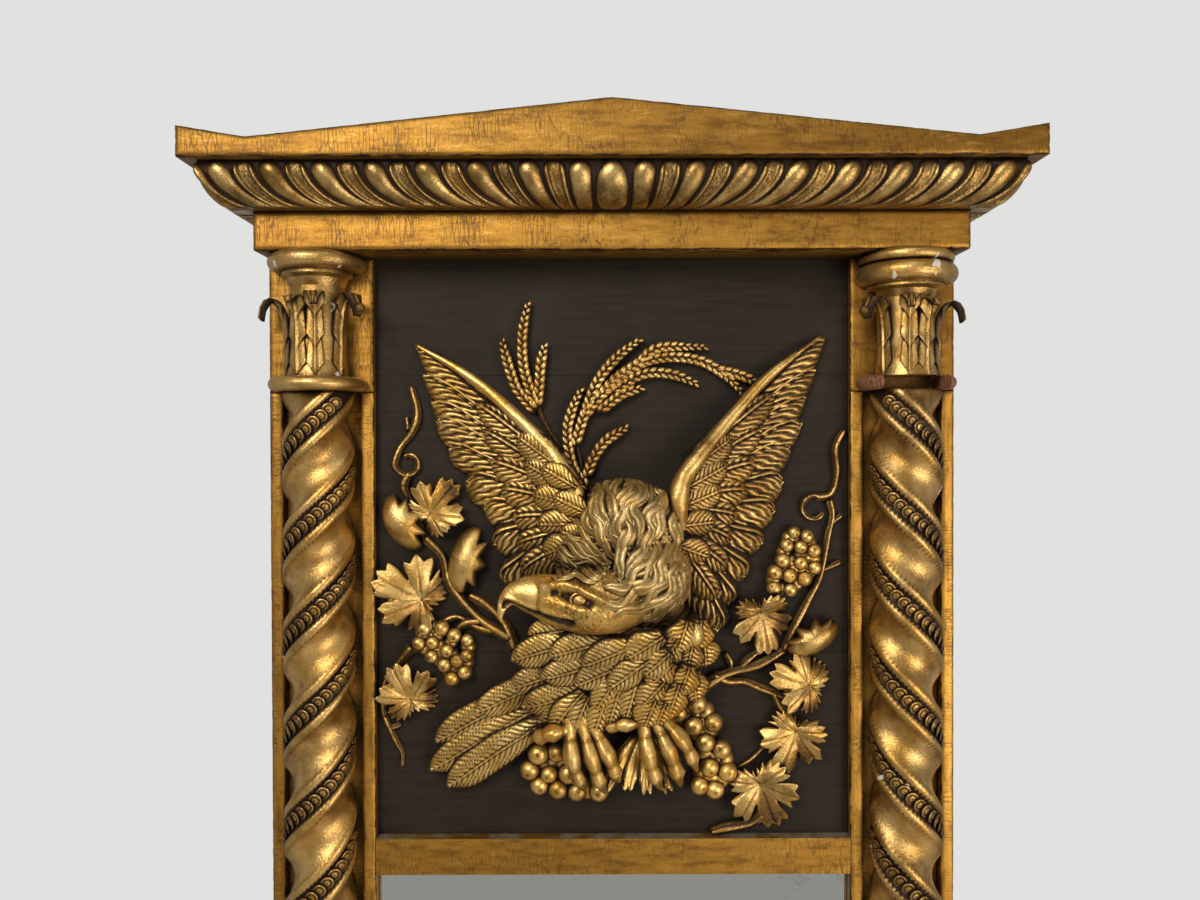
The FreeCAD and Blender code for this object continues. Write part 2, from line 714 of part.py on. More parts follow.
def right_wing():
    long_tips = [(257, 259), (252, 210), (233, 142), (214, 80), (202, 37), (183, -13), (152, -63), (133, -106)]
    middle_tips = [(190, 190), (180, 130), (165, 80), (150, 35), (135, -10), (122, -55)]
    short_tips = [(140, 140), (135, 95), (122, 50), (112, 5)]
    rows = [
        (long_tips, [(92, 110), (88, 60), (85, 0)], 12, 38, 9, 18, 9, -SHINGLE),
        (middle_tips, [(92, 115), (85, 60), (80, 10)], 7, 34, 9, 29, 20, -SHINGLE),
        (short_tips, [(88, 104), (80, 55), (76, 12)], 5, 30, 9, 40, 30, -SHINGLE),
    ]
    arm = ((84, 36, 42, 13), (86, 80, 42, 14), (110, 116, 34, 12), (148, 160, 26, 10), (197, 212, 20, 8),
           (252, 255, 15, 4))
    return wing(rows, arm, [(160, 130), (130, 40)])


def eagle_tail():
    """Long tail feathers down to the left under two rows of flank feathers."""
    long_tips = [(-222, -240), (-225, -270), (-203, -293)]
    flank_tips = [(-103, -112), (-125, -138), (-120, -166), (-98, -186), (-72, -221)]
    upper_tips = [(-73, -118), (-78, -142), (-60, -165), (-36, -180)]
    pieces = feather_row(long_tips, [(-70, -160), (-60, -182), (-40, -205)], 5, 32, 10, 22, 12, SHINGLE)
    pieces += feather_row(flank_tips, [(-20, -112), (-10, -150), (0, -190)], 6, 40, 10, 36, 24, SHINGLE)
    pieces += feather_row(upper_tips, [(-5, -112), (5, -140), (20, -170)], 4, 36, 10, 56, 44, SHINGLE)
    pieces += [peg(-130, -200, 14.0, 20.0), peg(-70, -160, 14.0, 30.0), peg(-20, -145, 16.0, 56.0)]
    return joined(pieces)


def toe(ankle, tip):
    """A toe that arches from the ankle over its knuckle to the claw."""
    ax, au, ao = ankle
    tx, tu, to = tip
    points = []
    for t, lift in ((0.0, 0.0), (0.3, 9.0), (0.6, 8.0), (0.85, 2.0), (1.0, -8.0)):
        points.append(on_panel(ax + (tx - ax) * t, au + (tu - au) * t, ao + (to - ao) * t + lift))
    return strand(points, [10, 10, 8.5, 6, 2])


def eagle_feet():
    feet = []
    left_ankle, right_ankle = (-56, -224, 44), (40, -214, 46)
    left_tips = [(-28, -294, 40), (-5, -285, 40), (4, -264, 40), (-86, -228, 36)]
    right_tips = [(67, -290, 40), (86, -282, 40), (100, -264, 40), (4, -216, 40)]
    for ankle, shin, tips in ((left_ankle, (-40, -190, 40), left_tips), (right_ankle, (48, -180, 42), right_tips)):
        pieces = [toe(ankle, tip) for tip in tips]
        pieces.append(strand([on_panel(*shin), on_panel(*ankle)], [13, 11]))
        pieces.append(peg(ankle[0], ankle[1], 8.0, ankle[2]))
        feet.append(before_panel(joined(pieces)))
    return feet


def perch_leaf():
    """The ragged leaf that hangs between the feet."""
    root = on_panel(40, -218, 12)
    tips = ((-4, -290), (15, -311), (42, -298), (67, -303), (86, -300))
    pieces = [blade(root, on_panel(x, up, 14), 34, 9) for x, up in tips]
    pieces.append(peg(40, -245, 10.0, 14.0))
    return joined(pieces)


def grapes(places, radius):
    """A bunch of round grapes on the panel, each one flat where it presses against a neighbour."""
    centres = [on_panel(x, up, radius + SEAT) for x, up in places]
    bunch = []
    for centre in centres:
        grape = Part.makeSphere(radius, centre, V(0, -1, 0))
        for other in centres:
            way = other - centre
            apart_by = way.Length
            if 0 < apart_by < 2 * radius:
                way.normalize()
                beyond = Part.makeBox(4 * radius, 4 * radius, 2 * radius, V(-2 * radius, -2 * radius, 0))
                plane = local_frame(centre + way * (apart_by - SEAT) / 2, V(0, -1, 0), way)
                grape = grape.cut(beyond.transformed(plane))
        bunch.append(grape)
    return bunch


PERCH_GRAPES_LEFT = ((-93, -256), (-70, -254), (-104, -276), (-80, -281), (-56, -281), (-92, -295), (-69, -300),
                     (-45, -303), (-18, -303))
PERCH_GRAPES_RIGHT = ((89, -177), (105, -193), (81, -204), (101, -221), (126, -217), (116, -242), (136, -251),
                      (121, -273), (143, -279), (108, -296), (127, -301))
LEFT_GRAPES = ((-236, -99), (-214, -99), (-199, -108), (-182, -114), (-243, -118), (-226, -117), (-208, -127),
               (-227, -134), (-183, -133), (-195, -140), (-211, -145), (-186, -154), (-202, -162))
RIGHT_GRAPES = ((228, 20), (244, 15), (219, 4), (236, 2), (253, -3), (214, -15), (236, -18), (254, -24), (204, -30),
                (222, -34), (241, -38), (203, -50), (223, -52))


# Vines and wheat


def vine_outline(size):
    """A vine leaf's outline about its centre: five pointed lobes with round shoulders."""
    reaches = (0.72, 0.95, 1.0, 0.95, 0.72)
    points = []
    for i, reach in enumerate(reaches):
        angle = 90 + (i - 2) * 62
        points.append((polar(size * reach, angle), polar(size * 0.86 * reach, angle + 17),
                       polar(size * 0.5, angle + 31), polar(size * 0.86 * reach, angle - 17),
                       polar(size * 0.5, angle - 31)))
    edges = []
    for tip, after, notch_after, before, notch_before in points:
        edges.append(Part.Arc(notch_before, before, tip).toShape())
        edges.append(Part.Arc(tip, after, notch_after).toShape())
    edges.append(Part.makeLine(points[-1][2], points[0][4]))
    return Part.Wire(edges)


def open_leaf(x, up, size, turn):
    """A vine leaf bent to a shallow dome, on a peg."""
    thick, apex = 6.0, 26.0
    bend = 1.6 * size
    block = Part.Face(vine_outline(size)).extrude(V(0, 0, 4 * size))
    shell = Part.makeSphere(bend + thick).cut(Part.makeSphere(bend))
    shell.translate(V(0, 0, 2 * size - bend))
    leaf = block.common(shell)
    leaf = max(leaf.Solids, key=lambda s: s.CenterOfMass.z)
    leaf.translate(V(0, 0, apex - 2 * size - thick))
    leaf = leaf.fuse(Part.makeCylinder(5.0, apex - thick / 2, V(0, 0, 0), V(0, 0, 1)))
    turn_over = local_frame(on_panel(x, up, 0), V(1, 0, 0), V(0, -1, 0))
    leaf.rotate(V(0, 0, 0), V(0, 0, 1), turn)
    return before_panel(leaf.transformed(turn_over))


def folded_leaf(x, up, half_wide, half_tall, turn):
    """A leaf folded to a round shell, seen from its back."""
    return dome(x, up, 4, half_wide, 28, half_tall, turn)


def lying(points, radii, straight=False):
    """A round body that lies on the panel all along its path."""
    path = [on_panel(x, up, radius + SEAT) for (x, up), radius in zip(points, radii)]
    return strand(path, radii, straight=straight)


def stem(points, radius, end_radius, straight=False):
    """A stem through the given places, thinner to its end."""
    return lying(points, taper(len(points), radius, (radius + end_radius) / 2, end_radius), straight)


def curl(x, up, start_radius, end_radius, start, end):
    """Places on a tendril's coil about a centre, from one angle to another."""
    steps = round((end - start) / CURL_STEP)
    places = []
    for i in range(steps + 1):
        t = i / steps
        place = polar(start_radius + (end_radius - start_radius) * t, start + (end - start) * t)
        places.append((x + place.x, up + place.y))
    return places


def left_vine():
    tendril = [(-253, 205), (-245, 172), (-252, 148), (-267, 128)] + curl(-257, 108, 17, 10, 180, 480)
    loop = [(-270, -142), (-288, -170), (-290, -205), (-283, -225), (-268, -222)]
    stems = [
        stem([(-123, -125), (-137, -94), (-160, -70), (-180, -59)], 7, 5),
        stem([(-128, -112), (-165, -90), (-192, -62), (-206, -40), (-214, -10), (-236, 14)], 7, 5),
        stem([(-147, -104), (-172, -98), (-197, -86), (-219, -96)], 6, 4),
        stem([(-253, -123), (-262, -134), (-286, -164)], 6, 4),
        stem([(-206, -128), (-236, -126), (-256, -128)], 6, 5),
        stem([(-165, -90), (-190, -96), (-206, -124)], 6, 5),
        stem(loop, 4, 3),
        stem([(-289, -212), (-276, -240), (-267, -258), (-267, -276)], 4, 2),
        stem(tendril, 4.5, 3, True),
        stem([(-256, 96), (-262, 80), (-255, 60)], 5, 5),
        stem([(-259, 166), (-256, 150)], 2.5, 4),
        stem([(-255, 62), (-244, 30), (-232, 8)], 5, 5),
    ]
    return joined(stems)


def left_vine_leaves():
    leaves = [
        folded_leaf(-262, 34, 24, 38, -28), open_leaf(-222, 54, 36, -35), folded_leaf(-182, -14, 23, 43, 16),
        open_leaf(-251, -56, 46, 60), open_leaf(-257, -179, 36, 20),
    ]
    return leaves


def right_vine():
    tendril = [(293, 148), (282, 125), (284, 95), (278, 70)] + curl(255, 50, 16, 13, 60, 330)
    stems = [
        stem([(109, -179), (141, -160), (182, -148), (216, -129)], 7, 5),
        stem([(150, -156), (149, -144), (143, -134)], 4, 4),
        stem([(163, -150), (172, -140), (186, -130)], 5, 4),
        stem([(128, -160), (146, -168), (167, -169), (190, -178), (232, -194)], 6, 4),
        stem([(204, -185), (214, -205), (224, -222)], 5, 4),
        stem([(216, -129), (232, -96), (250, -62), (262, -36), (272, 14), (278, 40), (274, 60)], 5, 4),
        stem(tendril, 4.5, 3, True),
        stem([(277, 31), (289, 41)], 4, 3),
        stem([(262, -30), (288, -18)], 4, 3),
        stem([(125, -360), (145, -353), (172, -348), (187, -335)], 5, 6),
        stem([(196, -248), (176, -268), (158, -279)], 3, 2),
        stem([(183, -342), (190, -316)], 5, 4),
    ]
    return joined(stems)


def right_vine_leaves():
    return [
        open_leaf(188, -91, 37, 190), folded_leaf(252, -112, 34, 20, -28), open_leaf(236, -168, 37, 72),
        open_leaf(225, -241, 38, 160), open_leaf(188, -307, 42, 200),
    ]


def ear(points, radius):
    """An ear of wheat: a long spindle along its path."""
    count = len(points)
    sizes = taper(count, radius, radius, 0.25 * radius)
    sizes[0] = 0.5 * radius
    return lying(points, sizes)


def left_wheat():
    pieces = [
        ear([(-100, 176), (-118, 199), (-127, 222), (-134, 246), (-138, 265)], 8),
        ear([(-95, 180), (-103, 201), (-111, 232), (-112, 270), (-105, 308)], 8),
        ear([(-94, 180), (-91, 205), (-89, 232), (-84, 256)], 7),
        stem([(-96, 184), (-79, 149), (-58, 122)], 5, 5),
    ]
    return joined(pieces)


def right_wheat():
    pieces = [
        ear([(-32, 77), (-50, 106), (-56, 146), (-50, 174), (-38, 202)], 8),
        ear([(-46, 132), (-36, 164), (-18, 210), (8, 242), (36, 263)], 9),
        ear([(-34, 168), (3, 212), (32, 232), (60, 252), (121, 253)], 9),
        ear([(-18, 189), (27, 227), (66, 240), (110, 236), (145, 215), (170, 188)], 9),
        ear([(135, 224), (160, 218), (182, 208)], 5),
        ear([(2, 198), (39, 219), (75, 219), (109, 206)], 8),
        ear([(-14, 174), (13, 194), (40, 203)], 8),
        ear([(-32, 92), (-22, 116), (-6, 137), (22, 154)], 8),
    ]
    return joined(pieces)


# Building and writing


def carvings():
    """The carved pieces, each with the room of those it lies against taken out."""
    head = eagle_head()
    body = eagle_body(head)
    wings = [apart(left_wing(), head, body), apart(right_wing(), head, body)]
    tail = apart(eagle_tail(), body, head, *wings)
    feet = [apart(foot, body, tail, head) for foot in eagle_feet()]
    leaf = apart(perch_leaf(), body, *feet)
    bunches = []
    for grape in grapes(PERCH_GRAPES_LEFT + PERCH_GRAPES_RIGHT, PERCH_GRAPE_R):
        clear = apart(grape, leaf, body, *(feet + wings))
        if clear.Volume > CRUMB_SHARE * grape.Volume:
            bunches.append(clear)
    tail = apart(tail, *bunches)
    eagle = [head, body, tail, leaf] + wings + feet + bunches
    wheat = [apart(left_wheat(), *eagle)]
    wheat.append(apart(right_wheat(), *(eagle + wheat)))
    nodes = {
        "eagle_head": head, "eagle_body": body, "left_wing": wings[0], "right_wing": wings[1], "eagle_tail": tail,
        "eagle_feet": Part.makeCompound(feet), "perch_leaf": leaf, "perch_grapes": Part.makeCompound(bunches),
        "left_wheat": wheat[0], "right_wheat": wheat[1],
    }
    sides = (
        ("left", left_vine(), left_vine_leaves(), LEFT_GRAPES),
        ("right", right_vine(), right_vine_leaves(), RIGHT_GRAPES),
    )
    for side, vine, leaves, bunch in sides:
        fruit = [apart(grape, *eagle) for grape in grapes(bunch, VINE_GRAPE_R)]
        vine = apart(vine, *(fruit + eagle))
        placed = []
        for one in leaves:
            placed.append(apart(one, vine, *(fruit + eagle + placed)))
        nodes[side + "_vine"] = vine
        nodes[side + "_vine_grapes"] = Part.makeCompound(fruit)
        nodes[side + "_vine_leaves"] = Part.makeCompound(placed)
    return nodes


def paired(name, right_piece):
    """A right-hand piece and its mirror image under their two names."""
    return {"right_" + name: right_piece, "left_" + name: mirrored(right_piece)}


def build():
    nodes = {}
    nodes.update(paired("stile", right_stile()))
    nodes.update(paired("inner_strip", right_inner_strip()))
    nodes.update(paired("outer_strip", right_outer_strip()))
    nodes.update(paired("capital_board", right_capital_board()))
    nodes.update(paired("plinth_block", right_plinth_block()))
    nodes.update(paired("column_base", right_column_base()))
    nodes.update(paired("column", mirrored(left_column())))
    nodes.update(paired("pediment_return", right_pediment_return()))
    gadroon_return = gadroon_right_return()
    nodes["gadroon_right_return"] = gadroon_return
    nodes["gadroon_left_return"] = mirrored(gadroon_return)
    nodes["gadroon_front"] = gadroon_front()
    nodes["top_rail"] = top_rail()
    nodes["middle_rail"] = middle_rail()
    nodes["bottom_rail"] = bottom_rail()
    nodes["frieze_board"] = frieze_board()
    nodes["cornice_core"] = cornice_core()
    nodes["cornice_soffit"] = cornice_soffit()
    nodes["pediment_board"] = pediment_board()
    nodes["pediment_glue_blocks"] = pediment_glue_blocks()
    left, right = left_capital(), right_capital()
    nodes["left_capital"] = left
    nodes["right_capital"] = right
    leaves = acanthus_ring(-AXIS_X, (-75, -15, 45), CAPITAL_Z + ASTRAGAL_H, 100.0, left)
    nodes["left_acanthus"] = leaves
    nodes["right_acanthus"] = mirrored(leaves)
    nodes["left_astragal"] = astragal_ring(-AXIS_X)
    nodes["right_astragal_ends"] = right_astragal_ends()
    joints = (PANEL_Z - LIP, PANEL_Z + LOWER_JOINT_UP, PANEL_Z + UPPER_JOINT_UP, FRIEZE_Z + LIP)
    for name, z0, z1 in zip(("lower", "middle", "upper"), joints, joints[1:]):
        nodes[name + "_panel_board"] = panel_board(z0, z1 - BOARD_GAP)
    nodes["panel_battens"] = panel_battens()
    nodes["mirror_plate"] = mirror_plate()
    nodes["mirror_blocks"] = mirror_blocks()
    nodes["backboards"] = backboards()
    nodes["hanging_plates"] = hanging_plates()
    nodes["wood_screws"] = wood_screws()
    nodes.update(carvings())
    return nodes


for node, shape in build().items():
    shape.exportStep("parts/" + node + ".step")
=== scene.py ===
import json
import math

import bpy
import numpy as np
from mathutils import Matrix, Vector


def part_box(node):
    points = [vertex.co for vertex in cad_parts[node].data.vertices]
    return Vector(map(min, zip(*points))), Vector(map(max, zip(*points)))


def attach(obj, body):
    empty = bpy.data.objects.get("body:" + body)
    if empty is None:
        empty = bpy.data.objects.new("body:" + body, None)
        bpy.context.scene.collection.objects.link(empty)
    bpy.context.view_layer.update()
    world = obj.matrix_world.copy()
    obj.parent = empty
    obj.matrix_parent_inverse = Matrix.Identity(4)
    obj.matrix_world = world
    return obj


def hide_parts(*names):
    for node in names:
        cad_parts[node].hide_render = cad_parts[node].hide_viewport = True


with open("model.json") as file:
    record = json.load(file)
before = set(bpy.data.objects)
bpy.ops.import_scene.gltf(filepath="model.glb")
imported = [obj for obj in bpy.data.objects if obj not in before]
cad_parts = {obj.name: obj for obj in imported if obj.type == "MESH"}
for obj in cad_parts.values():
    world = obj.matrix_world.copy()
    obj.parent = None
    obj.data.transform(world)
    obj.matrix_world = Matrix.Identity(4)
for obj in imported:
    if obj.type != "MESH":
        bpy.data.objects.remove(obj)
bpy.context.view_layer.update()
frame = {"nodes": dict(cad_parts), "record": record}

bl_info = {
    "name": "Giltwood trumeau mirror",
    "version": (1, 0, 0),
    "blender": (4, 5, 0),
    "location": "View3D > Sidebar > Trumeau",
    "description": "Carved, gilded and aged surfaces for a trumeau mirror with an eagle",
    "category": "Object",
}

# Lengths in the modelling functions are millimetres; MM turns them into the scene's metres
MM = 0.001
RANDOM = np.random.default_rng(7)

# How far the undersides of carvings stay off the panel
ON_PANEL = 0.3


def corners(node):
    """A node's lowest and highest corner in millimetres."""
    return [np.array(corner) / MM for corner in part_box(node)]


# Planes and axes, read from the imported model
PANEL_FACE = corners("middle_panel_board")[0][1]
PANEL_MID = (corners("lower_panel_board")[0][2] + corners("upper_panel_board")[1][2]) / 2
COLUMN_BOX = corners("left_column")
SHAFT_LOW, SHAFT_HIGH = COLUMN_BOX[0][2], COLUMN_BOX[1][2]
COLUMN_X = -(COLUMN_BOX[0][0] + COLUMN_BOX[1][0]) / 2
COLUMN_R = (COLUMN_BOX[1][0] - COLUMN_BOX[0][0]) / 2
COLUMN_Y = COLUMN_BOX[0][1] + COLUMN_R
COLUMN_BACK = COLUMN_BOX[1][1]
GADROON_BOX = corners("gadroon_front")
GADROON_LOW, GADROON_HIGH = GADROON_BOX[0][2], GADROON_BOX[1][2]
GADROON_FRONT = GADROON_BOX[0][1]
FRIEZE_FACE = corners("frieze_board")[0][1]
HALF_FRIEZE = corners("frieze_board")[1][0]


# Settings a user would change


class TrumeauSettings(bpy.types.PropertyGroup):
    coin_diameter: bpy.props.FloatProperty(
        name="Coin", description="Width of a disc in the columns' bands", default=17.0 * MM, unit="LENGTH")
    coin_pitch: bpy.props.FloatProperty(
        name="Coin pitch", description="Distance from disc to disc along a band", default=11.5 * MM,
        unit="LENGTH")
    barb_pitch: bpy.props.FloatProperty(
        name="Barb pitch", description="Distance between the grooves of a long feather", default=8.0 * MM,
        unit="LENGTH")
    crackle: bpy.props.FloatProperty(
        name="Crackle", description="Width of the cells in the gilding's craquelure", default=4.0 * MM,
        unit="LENGTH")
    # The light gold also paints highlights on the ridges, besides wear
    gold_rubbed_highlight: bpy.props.StringProperty(name="Light gold", description="Rubbed gold", default="#f3d590")
    gold: bpy.props.StringProperty(
        name="Gold", description="Gilding of the carving", default="#cf9f45")
    gold_board: bpy.props.StringProperty(
        name="Board gold", description="Gilding of the boards", default="#99712d")
    # The toning colour also paints shade in recesses, corners and undersides
    umber_toning_and_shade: bpy.props.StringProperty(name="Umber", description="Toning in the hollows", default="#211206")
    panel: bpy.props.StringProperty(name="Panel", description="Stain of the panel", default="#2b231c")


def settings():
    """The values of the panel in the sidebar."""
    return bpy.context.scene.trumeau


def linear(code):
    """A colour written as sRGB hex, as the linear values a shader takes."""
    channels = [int(code[i:i + 2], 16) / 255 for i in (1, 3, 5)]
    curve = [c / 12.92 if c <= 0.04045 else ((c + 0.055) / 1.055) ** 2.4 for c in channels]
    return (*curve, 1.0)


# Growing meshes


def to_panel(points):
    """Places on the panel (x, up from its middle, out of its face) as places in the frame, in metres."""
    points = np.asarray(points, float)
    placed = np.stack([points[..., 0], PANEL_FACE - points[..., 2], PANEL_MID + points[..., 1]], axis=-1)
    return placed * MM


def to_frame(points):
    """Places in the frame in millimetres, as metres."""
    return np.asarray(points, float) * MM


class Carving:
    """One mesh that grows from shells and tubes; each point knows how deep it lies and how much painted shade
    it takes.
    """

    def __init__(self, place):
        self.place = place
        self.points = []
        self.faces = []
        self.hollow_and_shade = []
        self.tone = []
        self.count = 0

    def add(self, points, faces, hollow_and_shade, tone):
        self.points.append(points.reshape(-1, 3))
        self.faces.append(faces + self.count)
        self.hollow_and_shade.append(np.broadcast_to(np.asarray(hollow_and_shade, float).ravel(), len(self.points[-1])).copy())
        self.tone.append(np.full(len(self.points[-1]), tone))
        self.count += len(self.points[-1])

    def shell(self, front, back, hollow_and_shade, tone=None, under=1.0):
        """A closed shell between two grids of the same size; under is how deep its back counts, as painted
        shade that also darkens its sides towards it.
        """
        rows, columns = front.shape[:2]
        index = np.arange(rows * columns).reshape(rows, columns)
        quads = np.stack([index[:-1, :-1], index[1:, :-1], index[1:, 1:], index[:-1, 1:]], axis=-1)
        quads = quads.reshape(-1, 4)
        rim = np.concatenate([index[0, :-1], index[:-1, -1], index[-1, :0:-1], index[:0:-1, 0]])
        after = np.roll(rim, -1)
        size = rows * columns
        sides = np.stack([rim, after, after + size, rim + size], axis=-1)
        faces = np.concatenate([quads, quads[:, ::-1] + size, sides])
        middle = quads[len(quads) // 2]
        flat = front.reshape(-1, 3)
        normal = np.cross(flat[middle[1]] - flat[middle[0]], flat[middle[2]] - flat[middle[0]])
        outward = flat[middle[0]] - back.reshape(-1, 3)[middle[0]]
        if np.dot(normal, outward) < 0:
            faces = faces[:, ::-1]
        points = np.concatenate([flat, back.reshape(-1, 3)])
        depth = np.concatenate([np.asarray(hollow_and_shade).ravel(), np.full(size, under)])
        self.add(points, faces, depth, RANDOM.random() if tone is None else tone)

    def tube(self, rings, hollow_and_shade, tone=None):
        """A closed body through rings of points, its two ends drawn to a middle point."""
        rows, sides = rings.shape[:2]
        index = np.arange(rows * sides).reshape(rows, sides)
        beside = np.roll(index, -1, axis=1)
        quads = np.stack([index[:-1], beside[:-1], beside[1:], index[1:]], axis=-1).reshape(-1, 4)
        start, end = rows * sides, rows * sides + 1
        low = np.stack([np.full(sides, start), beside[0], index[0], index[0]], axis=-1)
        high = np.stack([np.full(sides, end), index[-1], beside[-1], beside[-1]], axis=-1)
        points = np.concatenate([rings.reshape(-1, 3), rings[0].mean(0)[None], rings[-1].mean(0)[None]])
        faces = np.concatenate([quads, low, high])
        mid = rows // 2
        normal = np.cross(rings[mid, 1] - rings[mid, 0], rings[min(mid + 1, rows - 1), 0] - rings[mid, 0])
        if np.dot(normal, rings[mid, 0] - rings[mid].mean(0)) < 0:
            faces = faces[:, ::-1]
        depth = np.concatenate([np.broadcast_to(hollow_and_shade, (rows, sides)).ravel(), [0.5, 0.5]])
        self.add(points, faces, depth, RANDOM.random() if tone is None else tone)

    def body(self, name, material):
        """The mesh so far, as an object that isn't in the scene yet."""
        points = self.place(np.concatenate(self.points))
        faces = []
        for group in self.faces:
            for a, b, c, d in group.tolist():
                faces.append((a, b, c) if c == d else (a, b, c, d))
        mesh = bpy.data.meshes.new(name)
        mesh.from_pydata(points.tolist(), [], faces)
        for label, values in (("hollow_and_shade", self.hollow_and_shade), ("tone", self.tone)):
            layer = mesh.attributes.new(label, "FLOAT", "POINT")
            layer.data.foreach_set("value", np.concatenate(values))
        mesh.materials.append(material)
        mesh.shade_smooth()
        return bpy.data.objects.new(name, mesh)

    def finish(self, name, material, slot, *nodes):
        """The mesh as a piece of the mirror that stands for the given nodes."""
        return settle(self.body(name, material), slot, *nodes)


def settle(piece, slot, *nodes):
    """Adds a finished piece to the scene, on the one body, in place of the given nodes."""
    bpy.context.scene.collection.objects.link(piece)
    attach(piece, "root")
    if nodes:
        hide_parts(*nodes)
    return piece


def smooth(low, high, value):
    """0 below low, 1 above high, and an even curve between them."""
    t = np.clip((value - low) / (high - low), 0, 1)
    return t * t * (3 - 2 * t)


def along(points, t):
    """Points at shares t of a polyline, each leg counted alike."""
    points = np.asarray(points, float)
    place = np.clip(np.asarray(t, float), 0, 1) * (len(points) - 1)
    leg = np.minimum(place.astype(int), len(points) - 2)
    share = (place - leg)[..., None]
    return points[leg] * (1 - share) + points[leg + 1] * share


def spline(points, count):
    """count points on a smooth curve through the given ones."""
    points = np.asarray(points, float)
    padded = np.concatenate([2 * points[:1] - points[1:2], points, 2 * points[-1:] - points[-2:-1]])
    place = np.linspace(0, len(points) - 1, count)
    leg = np.minimum(place.astype(int), len(points) - 2)
    t = (place - leg)[:, None]
    a, b, c, d = (padded[leg + i] for i in range(4))
    bend = (2 * a - 5 * b + 4 * c - d) * t ** 2 + (3 * b - a - 3 * c + d) * t ** 3
    return 0.5 * (2 * b + (c - a) * t + bend)


def near(points, line, width):
    """How near each point lies to a polyline in the panel's plane: 1 on it, fading over the width."""
    flat = points[..., :2]
    best = np.full(flat.shape[:-1], np.inf)
    for a, b in zip(np.asarray(line, float), np.asarray(line[1:], float)):
        leg = b - a
        t = np.clip(((flat - a) @ leg) / (leg @ leg), 0, 1)
        best = np.minimum(best, np.linalg.norm(flat - a - t[..., None] * leg, axis=-1))
    return np.exp(-(best / width) ** 2)


def grid(rows, columns):
    """Two grids of numbers from (first, last, count): one runs down the rows, one along the columns."""
    return np.meshgrid(np.linspace(*rows), np.linspace(*columns), indexing="ij")


def ring(sides):
    """Even angles round a full turn."""
    return np.linspace(0, 2 * math.pi, sides, endpoint=False)


def ball(rows, sides, top=0.05, bottom=0.05):
    """Rings of a ball of radius 1 that end at small angles from its poles, and the angles from its top."""
    down, turn = np.meshgrid(np.linspace(top, math.pi - bottom, rows), ring(sides), indexing="ij")
    return np.stack([np.sin(down) * np.cos(turn), np.sin(down) * np.sin(turn), np.cos(down)], axis=-1), down


def lay(flat, out):
    """Places on the panel from their two coordinates in its plane and how far they stand out."""
    return np.concatenate([flat, out[..., None]], axis=-1)


def path_rings(path, wide, thick, sides, shape=None):
    """Rings about a path on the panel, wide in its plane and thick out of it; shape scales each point."""
    ahead = np.gradient(path, axis=0)
    ahead /= np.linalg.norm(ahead, axis=1)[:, None]
    across = np.cross(ahead, [0.0, 0.0, 1.0])
    across /= np.maximum(np.linalg.norm(across, axis=1), 1e-6)[:, None]
    outward = np.cross(across, ahead)
    angle = ring(sides)
    scale = np.ones((len(path), sides)) if shape is None else shape
    x = np.cos(angle)[None] * wide[:, None] * scale
    z = np.sin(angle)[None] * thick[:, None] * scale
    return path[:, None] + x[..., None] * across[:, None] + z[..., None] * outward[:, None]


# Materials

# Kinds of node that are used often, the sockets of a colour mix, and options that go together
NOISE = "ShaderNodeTexNoise"
RANGE = "ShaderNodeMapRange"
MATH = "ShaderNodeMath"
MIX = "ShaderNodeMix"
FACTOR, FIRST, SECOND, MIXED = 0, 6, 7, 2
BLEND = {"data_type": "RGBA", "output": MIXED}
EASED = {"interpolation_type": "SMOOTHSTEP"}


def add(tree, kind, inputs=None, output=0, **options):
    """Adds a node, sets its options, sets or links its inputs, and gives back one of its outputs."""
    node = tree.nodes.new(kind)
    for key, value in options.items():
        setattr(node, key, value)
    for key, value in (inputs or {}).items():
        if isinstance(value, bpy.types.NodeSocket):
            tree.links.new(value, node.inputs[key])
        else:
            node.inputs[key].default_value = value
    return node.outputs[output] if node.outputs else node


def start_material(name):
    """A new material with an empty tree, and the place on the object that its patterns follow."""
    material = bpy.data.materials.new(name)
    material.use_nodes = True
    material.node_tree.nodes.clear()
    place = add(material.node_tree, "ShaderNodeTexCoord", output="Object")
    return material, material.node_tree, place


def end_material(tree, inputs, relief, height):
    """Closes a material: the relief as bump, the shader with its inputs, and the output."""
    normal = add(tree, "ShaderNodeBump", {"Height": relief, "Distance": height, "Strength": 1.0})
    shader = add(tree, "ShaderNodeBsdfPrincipled", {**inputs, "Normal": normal})
    add(tree, "ShaderNodeOutputMaterial", {"Surface": shader})


